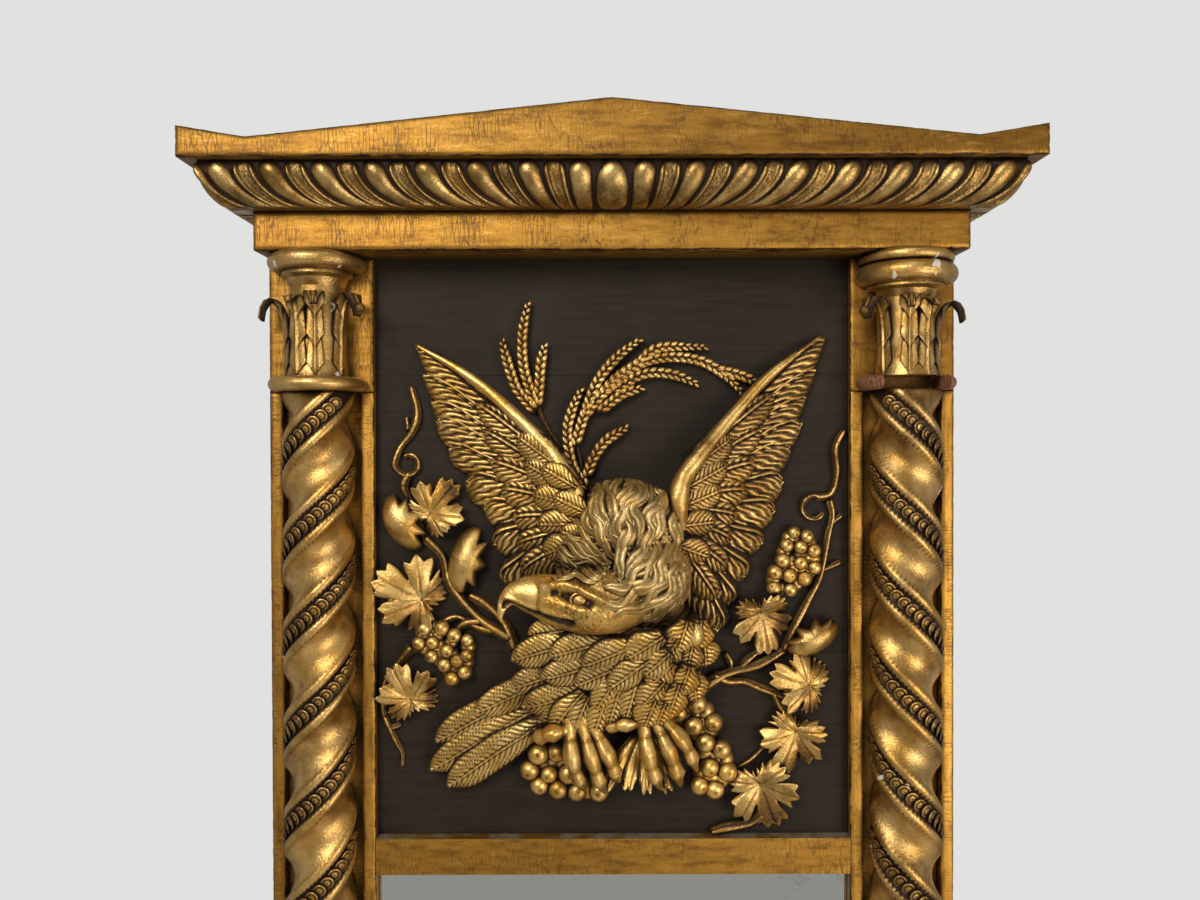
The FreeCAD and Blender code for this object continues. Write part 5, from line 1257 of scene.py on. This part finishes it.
class TRUMEAU_OT_feet(bpy.types.Operator):
    """Long knuckled toes that grip the perch, and the ragged leaf between them."""
    bl_idname = "trumeau.feet"
    bl_label = "Feet"

    def execute(self, context):
        feet = Carving(to_panel)
        for toe, radius in TOES:
            self.toe(feet, toe, radius)
        for x, up in ((-40, -203), (46, -198)):
            self.knuckle(feet, x, up)
        feet.finish("eagle_feet_carved", MATERIALS["carving"], "gilt_carving", "eagle_feet")
        leaf = Carving(to_panel)
        self.ragged_leaf(leaf, 22.0, 1.0)
        self.ragged_leaf(leaf, 8.0, 1.12)
        leaf.finish("perch_leaf_carved", MATERIALS["carving"], "gilt_carving", "perch_leaf")
        return {"FINISHED"}

    def ragged_leaf(self, carving, out, size):
        """The torn leaf under the feet: a fan of flutes about the right ankle with a jagged lower edge."""
        flutes = 5
        ankle_x, ankle_up = 40, -216
        angle, share = grid((-2.3, -0.8, 201), (0.05, 1, 40))
        lobe = (angle + 2.3) / 1.5 * flutes
        ridge = np.abs(np.sin(lobe * math.pi))
        lengths = RANDOM.uniform(70, 94, flutes)[np.minimum(lobe.astype(int), flutes - 1)]
        cut = 0.74 + 0.26 * ridge ** 0.5 + 0.05 * np.sin(lobe * 6 * math.pi + 1)
        reach = size * lengths * (1 + (cut - 1) * share ** 3) * share
        flat = np.stack([ankle_x + reach * np.cos(angle), ankle_up + reach * np.sin(angle)], axis=-1)
        height = out + 6 * ridge * share + 9 * share ** 3 + 3 * np.sin(lobe * 2.1) * share
        front = lay(flat, height)
        back = lay(flat, np.maximum(height - 4.5, ON_PANEL))
        # Painted shade in the valleys between the flutes and towards the ankle
        hollow_and_shade = (1 - ridge) ** 4 * 0.7 + smooth(0.4, 0.1, share)
        carving.shell(front, back, np.clip(hollow_and_shade, 0, 1), 0.1)

    def knuckle(self, carving, x, up):
        """The rounded foot that the toes spring from."""
        globe, down = ball(16, 28)
        # Painted shade on the half that faces the panel
        carving.tube(globe * (26, 20, 16) + (x, up, 40.0), smooth(0.2, -0.5, np.cos(down)), 0.3)

    def toe(self, carving, flat, radius):
        """A toe along three places on the panel: knuckles, creases between them and a claw bent inwards."""
        steps, sides = 64, 24
        path = spline([(*point, out) for point, out in zip(flat, TOE_OUTS)], steps)
        t = np.linspace(0, 1, steps)
        path[:, 2] -= 6 * smooth(0.8, 1.0, t)
        size = radius * np.interp(t, TOE_MARKS, TOE_SIZES)
        turn = ring(sides)
        # Painted shade in the creases and on the underside that faces the panel
        crease = sum(np.exp(-((t - joint) / 0.035) ** 2) for joint in (0.24, 0.58, 0.84))[:, None] * 0.3
        hollow_and_shade = np.clip(crease + 0.9 * np.clip(0.35 - np.sin(turn), 0, 1)[None], 0, 1)
        facets = 1 + 0.06 * np.cos(4 * turn + 0.6)
        carving.tube(path_rings(path, size, size * 1.05, sides, facets), hollow_and_shade, 0.3)


# Vines, grapes and wheat

PERCH_GRAPES = ((-93, -256), (-70, -254), (-104, -276), (-80, -281), (-56, -281), (-92, -295), (-69, -300),
                (-45, -303), (-18, -303), (89, -177), (105, -193), (81, -204), (101, -221), (126, -217),
                (116, -242), (136, -251), (121, -273), (143, -279), (108, -296), (127, -301))
LEFT_GRAPES = ((-236, -99), (-214, -99), (-199, -108), (-182, -114), (-243, -118), (-226, -117), (-208, -127),
               (-227, -134), (-183, -133), (-195, -140), (-211, -145), (-186, -154), (-202, -162))
RIGHT_GRAPES = ((228, 20), (244, 15), (219, 4), (236, 2), (253, -3), (214, -15), (236, -18), (254, -24),
                (204, -30), (222, -34), (241, -38), (203, -50), (223, -52))


class TRUMEAU_OT_grapes(bpy.types.Operator):
    """Bunches of round grapes."""
    bl_idname = "trumeau.grapes"
    bl_label = "Grapes"

    def execute(self, context):
        bunches = (("perch_grapes", PERCH_GRAPES, 13.0), ("left_vine_grapes", LEFT_GRAPES, 9.6),
                   ("right_vine_grapes", RIGHT_GRAPES, 9.6))
        for node, places, radius in bunches:
            points, turns, sizes = [], [], []
            for x, up, out in self.packed(places, radius):
                size = radius * (1 + RANDOM.normal(0, 0.04))
                points.append(to_panel((x, up, out)))
                axis = RANDOM.normal(0, 0.25, 2)
                pole = np.array([axis[0], -1.0, axis[1]])
                pole /= np.linalg.norm(pole)
                side = np.cross(pole, [0, 0, 1.0])
                side /= np.linalg.norm(side)
                turns.append((side, np.cross(pole, side), pole))
                sizes.append((size * MM,) * 3)
            piece = scatter(node + "_round", self.grape(), points, turns, sizes, MATERIALS["carving"])
            settle(piece, "gilt_carving", node)
        return {"FINISHED"}

    def packed(self, places, radius):
        """The front grapes, and others set deeper that fill the gaps between pairs of neighbours."""
        bunch = [(x, up, radius * 1.25) for x, up in places]
        for i, (x, up) in enumerate(places):
            for other_x, other_up in places[i + 1:]:
                apart = math.hypot(other_x - x, other_up - up)
                if 1.9 * radius < apart < 2.5 * radius:
                    bunch.append(((x + other_x) / 2, (up + other_up) / 2, radius * 0.55))
        return bunch

    def grape(self):
        """A round grape of radius 1 with a dimple at its end."""
        globe, down = ball(11, 18, 0.06, 0.02)
        radius = 1 - 0.06 * np.exp(-(down / 0.22) ** 2)
        # Painted shade in the dimple and on the back half that faces the panel
        hollow_and_shade = 0.5 * np.exp(-(down / 0.2) ** 2) + smooth(1.2, 2.2, down)
        carving = Carving(np.asarray)
        carving.tube(globe * radius[..., None], np.clip(hollow_and_shade, 0, 1), 0.5)
        return carving.body("grape", MATERIALS["carving"])


def coil(x, up, start_radius, end_radius, start, end):
    """Places on a tendril's coil about a centre, from one angle in degrees to another."""
    t = np.linspace(0, 1, round((end - start) / 30) + 1)
    angle = np.radians(start + (end - start) * t)
    radius = start_radius + (end_radius - start_radius) * t
    return [(x + r * math.cos(a), up + r * math.sin(a)) for r, a in zip(radius, angle)]


# Stems and tendrils: their places, and their radius at the start and the end
LEFT_STEMS = (
    ([(-123, -125), (-137, -94), (-160, -70), (-180, -59)], 7, 5),
    ([(-128, -112), (-165, -90), (-192, -62), (-206, -40), (-214, -10), (-236, 14)], 7, 5),
    ([(-147, -104), (-172, -98), (-197, -86), (-219, -96)], 6, 4),
    ([(-253, -123), (-262, -134), (-286, -164)], 6, 4),
    ([(-206, -128), (-236, -126), (-256, -128)], 6, 5),
    ([(-165, -90), (-190, -96), (-206, -124)], 6, 5),
    ([(-270, -142), (-288, -170), (-290, -205), (-283, -225), (-268, -222)], 4, 3),
    ([(-289, -212), (-276, -240), (-267, -258), (-267, -276)], 4, 2),
    ([(-253, 205), (-245, 172), (-252, 148), (-267, 128)] + coil(-257, 108, 17, 10, 180, 480), 4.5, 3),
    ([(-256, 96), (-262, 80), (-255, 60)], 5, 5),
    ([(-259, 166), (-256, 150)], 2.5, 4),
    ([(-255, 62), (-244, 30), (-232, 8)], 5, 5))
RIGHT_STEMS = (
    ([(109, -179), (141, -160), (182, -148), (216, -129)], 7, 5),
    ([(150, -156), (149, -144), (143, -134)], 4, 4),
    ([(163, -150), (172, -140), (186, -130)], 5, 4),
    ([(128, -160), (146, -168), (167, -169), (190, -178), (232, -194)], 6, 4),
    ([(204, -185), (214, -205), (224, -222)], 5, 4),
    ([(216, -129), (232, -96), (250, -62), (262, -36), (272, 14), (278, 40), (274, 60)], 5, 4),
    ([(293, 148), (282, 125), (284, 95), (278, 70)] + coil(255, 50, 16, 13, 60, 330), 4.5, 3),
    ([(277, 31), (289, 41)], 4, 3),
    ([(262, -30), (288, -18)], 4, 3),
    ([(125, -360), (145, -353), (172, -348), (187, -335)], 5, 6),
    ([(196, -248), (176, -268), (158, -279)], 3, 2),
    ([(183, -342), (190, -316)], 5, 4))

# Open leaves: x, up, size and turn in degrees
LEFT_LEAVES = ((-222, 54, 36, -35), (-251, -56, 46, 60), (-257, -179, 36, 20))
RIGHT_LEAVES = ((188, -91, 37, 190), (236, -168, 37, 72), (225, -241, 38, 160), (188, -307, 42, 200))

# Folded leaves: x, up, half width, half height, turn in degrees, and the side of the teeth
LEFT_FOLDED = ((-262, 34, 24, 38, -28, 1), (-182, -14, 23, 43, 16, 1))
RIGHT_FOLDED = ((252, -112, 20, 36, 62, -1),)

# Thickness of open and folded leaves
VINE_THICK, FOLD_THICK = 4.0, 5.0

# Lobes of an open leaf: way and length; and the clefts between them: way and depth
LOBES = ((0, 1.38), (0.95, 1.16), (-0.95, 1.1), (1.95, 0.84), (-1.95, 0.88))
CLEFTS = ((0.48, 1.0), (-0.47, 0.8), (1.45, 0.7), (-1.44, 1.0))


class TRUMEAU_OT_vines(bpy.types.Operator):
    """Vine stems, coiled tendrils and leaves on both sides."""
    bl_idname = "trumeau.vines"
    bl_label = "Vines"

    def execute(self, context):
        for side, stems in (("left", LEFT_STEMS), ("right", RIGHT_STEMS)):
            carving = Carving(to_panel)
            for stem in stems:
                self.stem(carving, *stem)
            carving.finish(side + "_vine_stems", MATERIALS["leaf"], "gilt_carving", side + "_vine")
        leaves = (("left", LEFT_LEAVES, LEFT_FOLDED), ("right", RIGHT_LEAVES, RIGHT_FOLDED))
        for side, opened, folded in leaves:
            carving = Carving(to_panel)
            for leaf in opened:
                self.open_leaf(carving, *leaf)
            for leaf in folded:
                self.folded_leaf(carving, *leaf)
            node = side + "_vine_leaves"
            carving.finish(node + "_carved", MATERIALS["leaf"], "gilt_carving", node)
        return {"FINISHED"}

    def stem(self, carving, points, start, end):
        """A ridged stem on the panel, a little uneven."""
        steps, sides = max(24, 8 * len(points)), 14
        t = np.linspace(0, 1, steps)
        uneven = 1 + 0.12 * np.sin(t * len(points) * 2.2 + start) + RANDOM.normal(0, 0.02, steps)
        size = (start + (end - start) * t) * uneven
        path = lay(spline(points, steps), size * 1.15)
        turn = ring(sides)
        ridges = 1 + 0.1 * np.cos(4 * turn + 2.0 * t[:, None])
        # Painted shade between the ridges and on the underside that faces the panel
        hollow_and_shade = np.clip((1.1 - ridges) * 3 + 0.5 * np.clip(-np.sin(turn), 0, 1)[None], 0, 1)
        carving.tube(path_rings(path, size, size * 1.1, sides, ridges), hollow_and_shade)

    def open_leaf(self, carving, x, up, size, turn):
        """A vine leaf: a long lobe, two beside it and two short ones at the stem; the toothed rim rolls."""
        angle, share = grid((-math.pi, math.pi, 289), (0.006, 1, 24))
        reach = np.full_like(angle, 0.6)
        vein = np.zeros_like(angle)
        swell = np.zeros_like(angle)
        cleft = np.zeros_like(angle)
        for way, long in LOBES:
            way = way + RANDOM.normal(0, 0.06)
            off = np.abs((angle - way + math.pi) % (2 * math.pi) - math.pi)
            reach = np.maximum(reach, long * (1 - 0.16 * (off / 0.5) ** 2))
            vein = np.maximum(vein, np.exp(-(off * share / 0.03) ** 2))
            swell = np.maximum(swell, 1 - (off / 0.6) ** 2)
        for notch, deep in CLEFTS:
            cleft = cleft + deep * np.exp(-((angle - notch) / 0.07) ** 2) * smooth(0.45, 0.9, share)
        stem = np.exp(-((np.abs(angle) - math.pi) / 0.4) ** 2)
        phase = RANDOM.random() * 6
        tooth = np.abs((angle * 22 / math.pi + phase + 0.5 * np.sin(3 * angle)) % 2 - 1) - 0.5
        reach = reach - 0.42 * cleft - 0.3 * stem + 0.2 * tooth * smooth(0.7, 1.0, share)
        radius = size * reach * share
        px, pu = radius * np.sin(angle), radius * np.cos(angle) - 0.3 * size
        roll = 5 * np.sin(angle * 2 + phase) + 4 * np.cos(angle * 3 + 2 * phase)
        tilt = RANDOM.uniform(-0.22, 0.22, 2)
        out = 15 + roll * share ** 1.5 + 4 * np.sin(share * math.pi) + 4 * swell * share - 1.1 * vein * share
        out = out + tilt[0] * px + tilt[1] * pu - 2 * cleft - 1.5 * tooth * share ** 4
        heading = math.radians(turn)
        side = np.array([math.cos(heading), math.sin(heading)])
        ahead = np.array([-side[1], side[0]])
        flat = np.array([x, up]) + px[..., None] * side + pu[..., None] * ahead
        front = lay(flat, np.maximum(out, VINE_THICK))
        back = lay(flat, np.maximum(out - VINE_THICK, ON_PANEL))
        # Painted shade where the rim rolls down towards the panel and along the veins
        sunk_shade = smooth(0.0, -1.0, roll / 8) * share
        hollow_and_shade = 0.25 * vein * smooth(0.05, 0.3, share) + 0.5 * sunk_shade
        hollow_and_shade *= 1 - 0.8 * smooth(0.88, 1.0, share)
        carving.shell(front, back, np.clip(hollow_and_shade, 0, 1), 0.2)

    def folded_leaf(self, carving, x, up, wide, tall, turn, teeth):
        """A leaf folded to a round shell, smooth on its back, with teeth along one edge."""
        angle, share = grid((-math.pi, math.pi, 129), (0.006, 1, 20))
        toothed = smooth(0.1, 0.5, np.cos(angle) * teeth)
        saw = np.abs(((angle * 9 / math.pi) % 2) - 1)
        radius = share * (1 + toothed * (0.42 * saw - 0.36) * share ** 3)
        px, pu = wide * radius * np.cos(angle), tall * radius * np.sin(angle)
        out = 5 + 24 * np.sqrt(np.maximum(1 - share ** 2 * 0.96, 0)) + 3 * toothed * share ** 4
        heading = math.radians(turn)
        across = np.array([math.cos(heading), -math.sin(heading)])
        ahead = np.array([math.sin(heading), math.cos(heading)])
        flat = np.array([x, up]) + px[..., None] * across + pu[..., None] * ahead
        front = lay(flat, out)
        back = lay(flat, np.maximum(out - FOLD_THICK, ON_PANEL))
        # Painted shade in the notches between the teeth and along the rim
        hollow_and_shade = toothed * (1 - saw) * share ** 4 + smooth(0.9, 1.0, share) * 0.3
        carving.shell(front, back, np.clip(hollow_and_shade, 0, 1), 0.6)


# Lines that ears and bare stalks of wheat follow
LEFT_EARS = (
    ((-100, 176), (-118, 199), (-127, 222), (-134, 246), (-138, 265)),
    ((-95, 180), (-103, 201), (-111, 232), (-112, 270), (-105, 308)),
    ((-94, 180), (-91, 205), (-89, 232), (-84, 256)))
RIGHT_EARS = (
    ((-32, 77), (-50, 106), (-56, 146), (-50, 174), (-38, 202)),
    ((-46, 132), (-36, 164), (-18, 210), (8, 242), (36, 263)),
    ((-34, 168), (3, 212), (32, 232), (60, 252), (121, 253)),
    ((-18, 189), (27, 227), (66, 240), (110, 236), (145, 215), (170, 188)),
    ((135, 224), (160, 218), (182, 208)),
    ((2, 198), (39, 219), (75, 219), (109, 206)),
    ((-14, 174), (13, 194), (40, 203)),
    ((-32, 92), (-22, 116), (-6, 137), (22, 154)))
LEFT_STALK = ((-96, 184), (-79, 149), (-58, 122))
RIGHT_STALK = ((-20, 60), (-34, 90), (-44, 130))

# A stalk's radius at its start and its end, and how far out it lies
STALK_R = (3.4, 1.6)
STALK_OUT = 6.0

# Distance between pairs of grains, and a grain's half length, half width and half thickness
GRAIN_STEP = 9.0
GRAIN = np.array([8.4, 3.9, 4.6])

# How far a grain lies out and off the stalk, and how it spreads sideways and lifts its tip
GRAIN_OUT, GRAIN_OFF, GRAIN_SPREAD, GRAIN_TIP = 9.0, 2.7, 0.46, 0.25


class TRUMEAU_OT_wheat(bpy.types.Operator):
    """Ears of wheat: pairs of pointed grains that overlap along a stalk."""
    bl_idname = "trumeau.wheat"
    bl_label = "Wheat"

    def execute(self, context):
        wheat = (("left_wheat", LEFT_EARS, LEFT_STALK), ("right_wheat", RIGHT_EARS, RIGHT_STALK))
        for node, ears, stalk in wheat:
            places, turns, sizes = [], [], []
            for ear in ears:
                self.grains(ear, places, turns, sizes)
            piece = scatter(node + "_grains", self.grain(), places, turns, sizes, MATERIALS["leaf"])
            settle(piece, "gilt_carving", node)
            stalks = Carving(to_panel)
            for line in (*ears, stalk):
                self.stalk(stalks, line)
            stalks.finish(node + "_stalks", MATERIALS["column"], "gilt_carving")
        return {"FINISHED"}

    def stalk(self, carving, line):
        """A thin stalk on the panel that tapers to its end."""
        steps = 30
        size = np.linspace(*STALK_R, steps)
        path = lay(spline(line, steps), np.full(steps, STALK_OUT))
        carving.tube(path_rings(path, size, size, 10), 0.5)

    def grains(self, ear, places, turns, sizes):
        """Adds an ear's grains, left and right of its line in turn and smaller towards the tip."""
        steps = 200
        path = spline(ear, steps)
        length = np.concatenate([[0], np.cumsum(np.linalg.norm(np.diff(path, axis=0), axis=1))])
        count = int(length[-1] / GRAIN_STEP * 2)
        for i in range(count + 1):
            k = np.searchsorted(length, min(i * GRAIN_STEP / 2, length[-1] - 1))
            k = min(max(k, 1), steps - 2)
            ahead = path[k + 1] - path[k - 1]
            ahead = np.array([*(ahead / np.linalg.norm(ahead)), 0.0])
            way = 1 if i % 2 else -1
            side = way * np.array([ahead[1], -ahead[0], 0.0])
            end = smooth(0.7, 1.0, i / max(count, 1))
            axis = ahead + side * GRAIN_SPREAD + np.array([0, 0, GRAIN_TIP])
            axis /= np.linalg.norm(axis)
            out = np.array([0, 0, 1.0]) - axis * axis[2]
            out /= np.linalg.norm(out)
            places.append(to_panel(np.array([*path[k], GRAIN_OUT]) + side * GRAIN_OFF * (1 - 0.5 * end)))
            turns.append([np.array([v[0], -v[2], v[1]]) for v in (axis, np.cross(out, axis), out)])
            sizes.append(GRAIN * (1 - 0.35 * end) * MM)

    def grain(self):
        """A pointed grain of half length 1."""
        t = np.linspace(-1, 1, 6)[:, None]
        turn = ring(7)[None]
        wide = np.sqrt(np.maximum(1 - np.abs(t) ** 1.7, 0.01))
        rings = np.broadcast_arrays(t, wide * np.cos(turn), wide * np.sin(turn))
        # Painted shade at the grain's lower end, under the grain before it, and on its underside
        hollow_and_shade = smooth(0.2, -0.6, t) * 0.8 + np.clip(-np.sin(turn), 0, 1) * 0.6
        carving = Carving(np.asarray)
        carving.tube(np.stack(rings, axis=-1), np.clip(hollow_and_shade, 0, 1), 0.5)
        return carving.body("grain", MATERIALS["leaf"])


# Stage


class TRUMEAU_OT_stage(bpy.types.Operator):
    """Pale floor and surroundings, soft studio light, and the camera at the photographed angle."""
    bl_idname = "trumeau.stage"
    bl_label = "Stage"

    def execute(self, context):
        self.floor()
        self.world(context.scene)
        self.lights()
        self.camera(context.scene)
        context.scene.view_settings.view_transform = "Standard"
        return {"FINISHED"}

    def floor(self):
        material, tree, place = start_material("pale_floor")
        cloud = add(tree, NOISE, {"Vector": place, "Scale": 1 / 0.3, "Detail": 3.0})
        colour = add(tree, MIX, {FACTOR: cloud, FIRST: linear("#d9d8d5"), SECOND: linear("#e2e1de")}, **BLEND)
        end_material(tree, {"Base Color": colour, "Roughness": 0.8}, cloud, 0.1 * MM)
        half = 1.6
        mesh = bpy.data.meshes.new("floor")
        edges = [(-half, -half, 0), (half, -half, 0), (half, half, 0), (-half, half, 0)]
        mesh.from_pydata(edges, [], [(0, 1, 2, 3)])
        mesh.materials.append(material)
        floor = bpy.data.objects.new("floor", mesh)
        bpy.context.scene.collection.objects.link(floor)

    def world(self, scene):
        """Pale where the camera or glass looks at it, greyer in reflections and in the light it gives."""
        world = bpy.data.worlds.new("studio")
        scene.world = world
        world.use_nodes = True
        tree = world.node_tree
        tree.nodes.clear()
        ray = add(tree, "ShaderNodeLightPath").node.outputs
        seen = add(tree, MATH, {0: ray["Is Camera Ray"], 1: ray["Is Transmission Ray"]}, operation="MAXIMUM")
        colour = linear("#7c7a76")
        for mask, shown in ((ray["Is Glossy Ray"], "#a09e9a"), (seen, "#e1e1e0")):
            colour = add(tree, MIX, {FACTOR: mask, FIRST: colour, SECOND: linear(shown)}, **BLEND)
        sky = add(tree, "ShaderNodeBackground", {"Color": colour, "Strength": 1.0})
        add(tree, "ShaderNodeOutputWorld", {"Surface": sky})

    def lights(self):
        """Three soft lamps: where they stand, what they aim at, size, power and colour."""
        for name, place, aim, size, power, colour in (
                ("key", (-0.9, -2.1, 2.5), (0.0, 0.0, 1.35), 1.0, 37.0, "#fff6e8"),
                ("fill", (1.5, -1.9, 0.9), (0.0, 0.0, 1.2), 1.2, 27.0, "#fff0dc"),
                ("top", (0.3, -1.1, 3.0), (0.0, -0.05, 1.4), 0.8, 3.0, "#ffffff")):
            lamp = bpy.data.lights.new(name, "AREA")
            lamp.size = size
            lamp.energy = power
            lamp.color = linear(colour)[:3]
            lamp_object = bpy.data.objects.new(name, lamp)
            lamp_object.location = place
            lamp_object.rotation_euler = (Vector(aim) - Vector(place)).to_track_quat("-Z", "Y").to_euler()
            bpy.context.scene.collection.objects.link(lamp_object)

    def camera(self, scene):
        """The view that was fitted to the photograph."""
        lens = bpy.data.cameras.new("photo_view")
        lens.lens = 27.03
        lens.sensor_width = 36.0
        view = bpy.data.objects.new("photo_view", lens)
        view.location = (-0.015, -1.178, 1.5145)
        view.rotation_euler = (math.radians(90 - 0.58), math.radians(0.17), 0)
        scene.collection.objects.link(view)
        scene.camera = view


# Add-on


class TRUMEAU_PT_panel(bpy.types.Panel):
    bl_label = "Trumeau mirror"
    bl_idname = "TRUMEAU_PT_panel"
    bl_space_type = "VIEW_3D"
    bl_region_type = "UI"
    bl_category = "Trumeau"

    def draw(self, context):
        for name in TrumeauSettings.__annotations__:
            self.layout.prop(context.scene.trumeau, name)
        for operator in OPERATORS:
            self.layout.operator(operator.bl_idname)


OPERATORS = (TRUMEAU_OT_boards, TRUMEAU_OT_columns, TRUMEAU_OT_gadroon, TRUMEAU_OT_capitals,
             TRUMEAU_OT_wings, TRUMEAU_OT_head, TRUMEAU_OT_body, TRUMEAU_OT_feet, TRUMEAU_OT_grapes,
             TRUMEAU_OT_vines, TRUMEAU_OT_wheat, TRUMEAU_OT_stage)
CLASSES = (TrumeauSettings, *OPERATORS, TRUMEAU_PT_panel)


def register():
    for one in CLASSES:
        bpy.utils.register_class(one)
    bpy.types.Scene.trumeau = bpy.props.PointerProperty(type=TrumeauSettings)


def unregister():
    del bpy.types.Scene.trumeau
    for one in reversed(CLASSES):
        bpy.utils.unregister_class(one)


def main():
    register()
    MATERIALS.update(make_materials())
    for operator in OPERATORS:
        group, name = operator.bl_idname.split(".")
        getattr(getattr(bpy.ops, group), name)()


if __name__ == "__main__":
    main()
